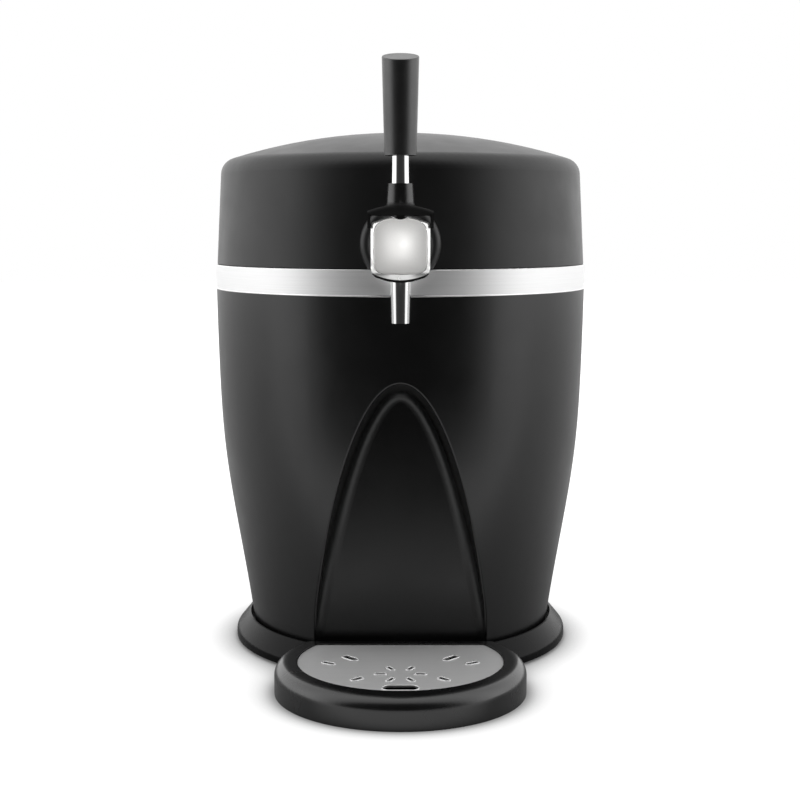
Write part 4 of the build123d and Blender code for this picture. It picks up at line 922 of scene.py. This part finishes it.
def studio_white(name, glow, reach):
    """Dull grey with a white glow for the camera. Near other things the glow fades: a painted
    shadow.
    """
    white = new_finish(name, grey(0.8), 1.0, specular=0.0)
    tree = white.node_tree
    place = axes(tree, tree.nodes["place"].outputs["Object"])
    aside = combined(tree, "ABSOLUTE", place["X"])
    feed(white, "Base Color", ranged(tree, aside, *grey_fade, grey_middle, grey_sides))
    start = ranged(tree, place["Y"], *strip_front, 0.0, strip_share)
    strip = combined(tree, "MULTIPLY", start, ranged(tree, place["Y"], *strip_rear))
    ray = tree.nodes.new("ShaderNodeLightPath").outputs
    # A painted reflection: in the strip, glossy rays see the glow as well.
    painted_reflection = combined(tree, "MULTIPLY", strip, ray["Is Glossy Ray"])
    seen = combined(tree, "MAXIMUM", painted_reflection, ray["Is Camera Ray"])
    # Ambient occlusion fades the glow within reach of other things: a painted contact shadow.
    contact_shadow_ao = tree.nodes.new("ShaderNodeAmbientOcclusion")
    contact_shadow_ao.inputs["Distance"].default_value = reach
    contact_shadow_ao.samples = 32
    open_sky = contact_shadow_ao.outputs["AO"]
    glow_with_painted_shadow = ranged(tree, open_sky, *glow_fade, glow_in_painted_shadow * glow, glow, smooth=True)
    tree.nodes["Principled BSDF"].inputs["Emission Color"].default_value = (*grey(1.0), 1.0)
    feed(white, "Emission Strength", combined(tree, "MULTIPLY", seen, glow_with_painted_shadow))
    return white


def flat_sheet(name, half_x, y_low, y_high, z):
    """Level rectangle that faces up."""
    mesh = bpy.data.meshes.new(name)
    corners = [(-half_x, y_low, z), (half_x, y_low, z), (half_x, y_high, z), (-half_x, y_high, z)]
    mesh.from_pydata(corners, [], [(0, 1, 2, 3)])
    return add_object(name, mesh)


floor = flat_sheet("studio_floor", half_x=6.0, y_low=-0.55, y_high=6.0, z=0.0)
floor.data.materials.append(studio_white("floor_white", glow=0.82, reach=45.0 * mm))
print("floor:", [round(side, 2) for side in floor.dimensions])

# %% [markdown]
# ## The light all round
#
# A black object is lit best from its sides, with the side of the viewer left dark. Black plastic
# then shows two broad soft highlights and a dark middle, and chrome shows white sides with a sharp
# dark core. Lamps with soft boxes could do it. Here the world itself is that studio: a colour ramp
# along Y gives each direction its brightness, and it gets dimmer straight above.

# %% World
# Each stop is a place along Y from front (0) to back (1), with the studio's brightness there.
studio_stops = [
    (0.0, 0.02),
    (0.15, 0.03),
    (0.185, 0.08),
    (0.245, 0.62),
    (0.3, 0.87),
    (0.5, 1.25),
    (0.67, 1.0),
    (0.88, 0.88),
    (1.0, 0.8),
]
studio_strength = 1.7
overhead_strength = studio_strength * 0.7
overhead = (0.4, 0.95)  # the strength changes between these upward parts of a direction
world = bpy.data.worlds.new("studio_world")
bpy.context.scene.world = world
world.use_nodes = True
tree = world.node_tree
tree.nodes.clear()
heading = axes(tree, tree.nodes.new("ShaderNodeTexCoord").outputs["Generated"])
ramp = tree.nodes.new("ShaderNodeValToRGB")
stops = ramp.color_ramp.elements
for stop, (place, brightness) in zip(stops, (studio_stops[0], studio_stops[-1])):
    stop.position = place
    stop.color = (*grey(brightness), 1.0)
for place, brightness in studio_stops[1:-1]:
    stops.new(place).color = (*grey(brightness), 1.0)
tree.links.new(ranged(tree, heading["Y"], -1.0, 1.0), ramp.inputs["Fac"])
studio = tree.nodes.new("ShaderNodeBackground")
strength = ranged(tree, heading["Z"], *overhead, studio_strength, overhead_strength)
tree.links.new(ramp.outputs["Color"], studio.inputs["Color"])
tree.links.new(strength, studio.inputs["Strength"])
print("studio stops:", len(stops))

# %% [markdown]
# ## A white backdrop
#
# The camera sees plain white instead of the studio. The Light Path node tells its rays from all
# others, so this white adds no light to the object.

# %% Backdrop
white = tree.nodes.new("ShaderNodeBackground")
white.inputs["Color"].default_value = (*grey(1.0), 1.0)
white.inputs["Strength"].default_value = 1.0
ray = tree.nodes.new("ShaderNodeLightPath").outputs
blend = tree.nodes.new("ShaderNodeMixShader")
out = tree.nodes.new("ShaderNodeOutputWorld")
seen = combined(tree, "MAXIMUM", ray["Is Camera Ray"], ray["Is Transmission Ray"])
tree.links.new(seen, blend.inputs["Fac"])
tree.links.new(studio.outputs["Background"], blend.inputs[1])
tree.links.new(white.outputs["Background"], blend.inputs[2])
tree.links.new(blend.outputs["Shader"], out.inputs["Surface"])
print("world nodes:", len(tree.nodes))

# %% [markdown]
# ## A glow on the tap's face
#
# The satin plate is brightest in its middle and fades towards its edges. The world alone lights it
# evenly and too little, as it faces the dark side. A small spot lamp in front adds the glow. Its
# cone just covers the plate, so the black plastic around it gets nearly none of its light.

# %% Lamp on the tap's face
def narrow_spot(name, place, target, reach, watts):
    """Spot lamp whose soft cone just covers a circle of radius reach around its target."""
    light = bpy.data.lights.new(name, "SPOT")
    aim = Vector(target) - Vector(place)
    light.spot_size = 2 * math.atan(reach / aim.length)
    light.spot_blend = 1.0
    light.shadow_soft_size = 12.0 * mm
    light.energy = watts
    lamp = add_object(name, light)
    lamp.location = place
    lamp.rotation_euler = aim.to_track_quat("-Z", "Y").to_euler()
    return lamp


lamp_place = (0.0, -1.0, 0.308)
face_middle = (0.0, -0.169, 0.2945)
lamp = narrow_spot("face_spot", lamp_place, face_middle, reach=22.5 * mm, watts=13.0)
print("lamp cone in degrees:", round(math.degrees(lamp.data.spot_size), 2))

# %% [markdown]
# ## Camera
#
# The camera stands level with the tap and looks slightly down, through a 63 mm lens.

# %% Camera
lens = bpy.data.cameras.new("studio_camera")
lens.lens = 63.0
lens.sensor_width = 36.0
camera = add_object("studio_camera", lens)
camera.location = (-0.0003, -1.042, 0.3104)
camera.rotation_euler = (math.radians(82.69), 0.0, 0.0)
bpy.context.scene.camera = camera
bpy.context.scene.view_settings.view_transform = "Standard"
print("camera:", tuple(round(step, 3) for step in camera.location))
